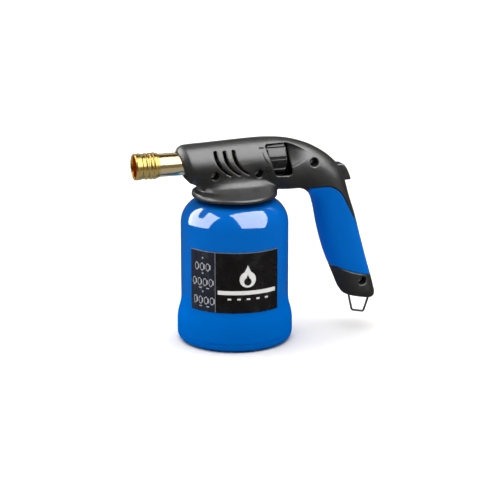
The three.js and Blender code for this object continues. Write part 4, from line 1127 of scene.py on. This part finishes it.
def add_both(name, left, right, finish, slot, node):
    """Adds a piece on each side of the seam. Both are drawn on the left, and one is mirrored."""
    for side, field, way in (("left", left, 1), ("right", right, -1)):
        points, quads = skin(field, grid_low, cell)
        mesh = mesh_of(points * (1, way, 1), quads)
        add_piece(f"{name}_{side}", mesh, finish, "torch", slot, f"{node}_{side}")


housing_plastic = moulded(
    "housing_plastic", (0.021, 0.021, 0.0205), 0.36, 0.5 * mm, specular_ior_level=0.36
)
left_shell, right_shell = (common(half, y + seam, 0.5 * mm) for half in (left_shell, right_shell))
add_both("housing", left_shell, right_shell, housing_plastic, "housing_plastic", "shell")

# Grips: panels of soft blue rubbery plastic, one on each side of the handle. Each is moulded over a
# recess in its shell, and lies level with the skin round it.
grip_rubber = moulded("grip_rubber", (0.0, 0.125, 0.52), 0.55, 0.4 * mm, specular_ior_level=0.01)
panel = common(grip_zone + 0.3 * mm, body, 0.8 * mm)
panel = overlap(panel, -(body + grip_thickness), y + seam)
add_both("grip_panel", panel, panel, grip_rubber, "grip_rubber", "grip")

# Ignition button: moulded in black plastic, with a rounded thumb face at the back. It slides in the
# shells, where a flange keeps it in, and pushes the igniter's plunger.
button_step = 0.32 * mm
button_shares = [
    (0.711, -0.178), (0.716, -0.169), (0.695, -0.132), (0.676, -0.104), (0.648, -0.076),
    (0.619, -0.067),
]
button_half, button_flange = 5.6 * mm, 2.4 * mm
low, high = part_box("ignition_button")
button_face = [in_handle(*place) for place in button_shares]
button_outline = rounded([(low.x, low.z), *button_face, (low.x, high.z)], 1 * mm, closed=True)
button_margin = 1.5 * mm
bx, by, bz = (ruler(a - button_margin, b + button_margin, button_step) for a, b in zip(low, high))
bx, by, bz = bx[:, None, None], by[None, :, None], bz[None, None, :]
thumb = outline_distance(button_outline, bx[:, 0], bz[0])[:, None, :]
thumb = common(thumb, np.abs(by) - button_half, 1.6 * mm)
flange = overlap(bx - low.x - button_flange, low.x - bx, np.abs(by) - high.y)
flange = overlap(flange, bz - high.z, low.z - bz)
button_corner = np.array(low) - button_margin
button_plastic = moulded(
    "button_plastic", (0.015, 0.015, 0.016), 0.36, 0.5 * mm, specular_ior_level=0.45
)
button_mesh = mesh_of(*skin(np.minimum(thumb, flange), button_corner, button_step))
add_piece(
    "thumb_button", button_mesh, button_plastic, "button", "button_plastic", "ignition_button"
)

# Gas knob: moulded in black plastic, with ten flutes round its rim for the thumb. It is pressed on
# the end of the valve's stem.
knob_radius, knob_rim, knob_edge, knob_wall = 15.1 * mm, 13.8 * mm, 1.3 * mm, 3 * mm
stem_bore, stem_depth, hub_radius = 2.3 * mm, 13.6 * mm, 5 * mm
knob_outline = [(0, stem_depth), (stem_bore, stem_depth), (stem_bore, 0)]
knob_outline += rounded([
    (stem_bore + 0.1 * mm, 0),
    (knob_rim, 0),
    (knob_radius, knob_edge),
    (knob_radius, knob_length - knob_edge),
    (knob_rim, knob_length),
    (knob_rim - knob_wall, knob_length),
    (knob_rim - knob_wall, knob_wall),
    (hub_radius, knob_wall),
    (hub_radius, knob_length - knob_edge),
    (0, knob_length - knob_edge),
], 0.6 * mm)
knob_plastic = moulded(
    "knob_plastic", (0.012, 0.012, 0.0125), 0.32, 0.6 * mm, specular_ior_level=0.3
)
flute_sizes = {"flute_width": 1.8 * mm, "flute_floor": knob_rim, "flute_edge": 0.7 * mm}
knob_mesh = turned(knob_outline, knob_plastic, sides=400, flutes=10, flute_turn=0.29, **flute_sizes)
knob_mesh = lie_along_x(knob_mesh, knob_low.x)
add_piece("fluted_knob", knob_mesh, knob_plastic, "knob", "knob_plastic", "gas_knob", sharp=50)

# Knob marks: near-black strips laid on the housing beside the knob's window, painted shade for the
# shadowed floors of moulded grooves. A dash stands for shut, a swelling arc for the way to turn,
# and a small star of rays for open.
mark_proud, mark_sunk = 0.08 * mm, 0.5 * mm
star_x, star_z = 24.7, 149.4
ray_start, ray_end, rays = 1.1, 3.1, 8


def skin_y(at_x, at_z):
    """Where the housing's left side lies at a place in the side view."""
    i, k = int((at_x - grid_low[0]) / cell), int((at_z - grid_low[2]) / cell)
    s, t = (at_x - line_x[i]) / cell, (at_z - line_z[k]) / cell
    before, after = (outside[i + n, :, k] * (1 - t) + outside[i + n, :, k + 1] * t for n in (0, 1))
    column = before * (1 - s) + after * s
    n = int(np.argmax(column < 0))
    return line_y[n - 1] + cell * column[n - 1] / (column[n - 1] - column[n])


def groove_shade_stroke(rows):
    """A closed stroke along rows of x, z and half width, which lies on the housing's skin."""
    rows = [np.array(row) * mm for row in rows]
    points, quads = [], []
    for row, earlier, later in zip(rows, rows[:1] + rows, rows[1:] + rows[-1:]):
        way = (later - earlier)[:2]
        across = np.array((-way[1], way[0])) / np.hypot(*way) * row[2]
        for side in (-1, 1):
            at_x, at_z = row[:2] + side * across
            for depth in (mark_sunk, -mark_proud):
                points.append((at_x, skin_y(at_x, at_z) + depth, at_z))
    for n in range(len(rows) - 1):
        ring = [4 * n + i for i in (0, 1, 3, 2)]
        for a, b in zip(ring, ring[1:] + ring[:1]):
            quads.append((a, b, b + 4, a + 4))
    quads += [(2, 3, 1, 0), tuple(4 * (len(rows) - 1) + i for i in (0, 1, 3, 2))]
    return mesh_of(points, quads)


def swelling(start, end, first_half, last_half, bulge=0.0, steps=12):
    """Rows in millimetres of a stroke that swells from one half width to another."""
    rows = []
    for t in np.linspace(0, 1, steps + 1):
        at_x = start[0] + (end[0] - start[0]) * t - bulge * math.sin(math.pi * t)
        at_z = start[1] + (end[1] - start[1]) * t
        rows.append((at_x, at_z, first_half + (last_half - first_half) * t))
    return rows


mark_strokes = [
    swelling((17.5, 167.4), (21.9, 167.4), 0.65, 0.65),
    swelling((20.3, 164.2), (24.6, 154.4), 0.3, 0.8, bulge=0.7),
]
for ray in range(rays):
    way_x, way_z = math.cos(math.tau * ray / rays), math.sin(math.tau * ray / rays)
    start = star_x + ray_start * way_x, star_z + ray_start * way_z
    end = star_x + ray_end * way_x, star_z + ray_end * way_z
    mark_strokes.append(swelling(start, end, 0.35, 0.4, steps=3))
mark_mesh = one_mesh(*[groove_shade_stroke(stroke) for stroke in mark_strokes])
# The ink is painted shade: matt near black where moulded grooves would lie in shadow.
mark_ink = Finish("mark_ink", (0.004, 0.004, 0.004), specular_ior_level=0.15)
mark_ink.mottled(1 * mm, 0.5, 0.7)
add_piece("knob_marks", mark_mesh, mark_ink, "torch", "knob_plastic", sharp=40)

# Bail: spring steel wire bent to a loop, to hang the torch up. Its two ends snap into bores in the
# handle's heel, and it swings in them.
wire_radius = 0.95 * mm
bail_corners = [(-12, 0), (-10.2, 0), (-2.9, -16.2), (8.3, -16.2), (10.2, 0), (12, 0)]
bent_wire = rounded([(a * mm, b * mm) for a, b in bail_corners], 1.6 * mm, steps=8)
bail_path = []
for a, b in bent_wire:
    at_x = bail_place.x + a * math.cos(bail_tilt) + b * math.sin(bail_tilt)
    at_z = bail_place.z - a * math.sin(bail_tilt) + b * math.cos(bail_tilt)
    bail_path.append((at_x, 0, at_z))
bail_steel = Finish("bail_steel", (0.09, 0.09, 0.09), metallic=1).mottled(1.5 * mm, 0.35, 0.45)
bail_mesh = swept_along(bail_path, bail_steel, radius=wire_radius, sides=20)
add_piece("wire_bail", bail_mesh, bail_steel, "bail", "bail_wire", "hang_bail", sharp=60)

# Housing screws: four thread-forming steel screws with cross recesses. They are sunk in deep
# counterbores on the left side, and clamp the two shells together.
screw_step = 0.16 * mm
head_radius, head_height, head_round = 3.2 * mm, 2.2 * mm, 1.2 * mm
shank_radius, screw_length, point_length = 1.55 * mm, 14 * mm, 2 * mm
screw_pitch, thread_depth = 1.3 * mm, 0.28 * mm
arm_half, arm_reach, recess_depth = 0.55 * mm, 2.1 * mm, 1.4 * mm
margin = 0.4 * mm
seat = screw_seat - 0.3 * mm
reach = head_radius + margin
screw_corner = np.array((-reach, seat - head_height - margin, -reach))
sx = ruler(screw_corner[0], reach, screw_step)[:, None, None]
sy = ruler(screw_corner[1], seat + screw_length + margin, screw_step)[None, :, None]
sz = ruler(screw_corner[2], reach, screw_step)[None, None, :]
radius = np.hypot(sx, sz)
head = common(radius - head_radius, np.maximum(seat - head_height - sy, sy - seat), head_round)
winding = np.cos(np.arctan2(sz, sx) - math.tau * sy / screw_pitch)
core = radius - shank_radius + thread_depth / 2 * (1 - winding)
tip = sy - seat - screw_length
cone = radius - shank_radius + (tip + point_length) * 0.6
shank = overlap(core, seat - 0.3 * mm - sy, tip, cone)
depth = sy - (seat - head_height)
arm, long_arm = arm_half - 0.12 * depth, arm_reach - 0.7 * depth
cross_x = np.maximum(np.abs(sx) - long_arm, np.abs(sz) - arm)
cross_z = np.maximum(np.abs(sz) - long_arm, np.abs(sx) - arm)
cross = np.maximum(np.minimum(cross_x, cross_z), depth - recess_depth)
screw_field = without(np.minimum(head, shank), cross, 0.2 * mm)
screw_mesh = mesh_of(*skin(screw_field, screw_corner, screw_step))
screw_master = bpy.data.objects.new("screw_master", screw_mesh)
fastening = Recipe("fastening")
one_screw = fastening.node("GeometryNodeObjectInfo", {}, {"Object": screw_master}, "Geometry")
spots = fastening.node("GeometryNodeMeshToPoints", {}, (fastening.given("Geometry"),))
placed = {"Points": spots, "Instance": one_screw}
fastening.gives(fastening.node("GeometryNodeInstanceOnPoints", {}, placed))
screws_mesh = fastening.make([(at_x, 0, at_z) for at_x, at_z in screw_places], (), plated_steel)
bpy.data.objects.remove(screw_master)
screw_nodes = [f"housing_screw_{i}" for i in (1, 2, 3, 4)]
add_piece(
    "housing_screws", screws_mesh, plated_steel, "torch", "fastener_steel", *screw_nodes, sharp=60
)
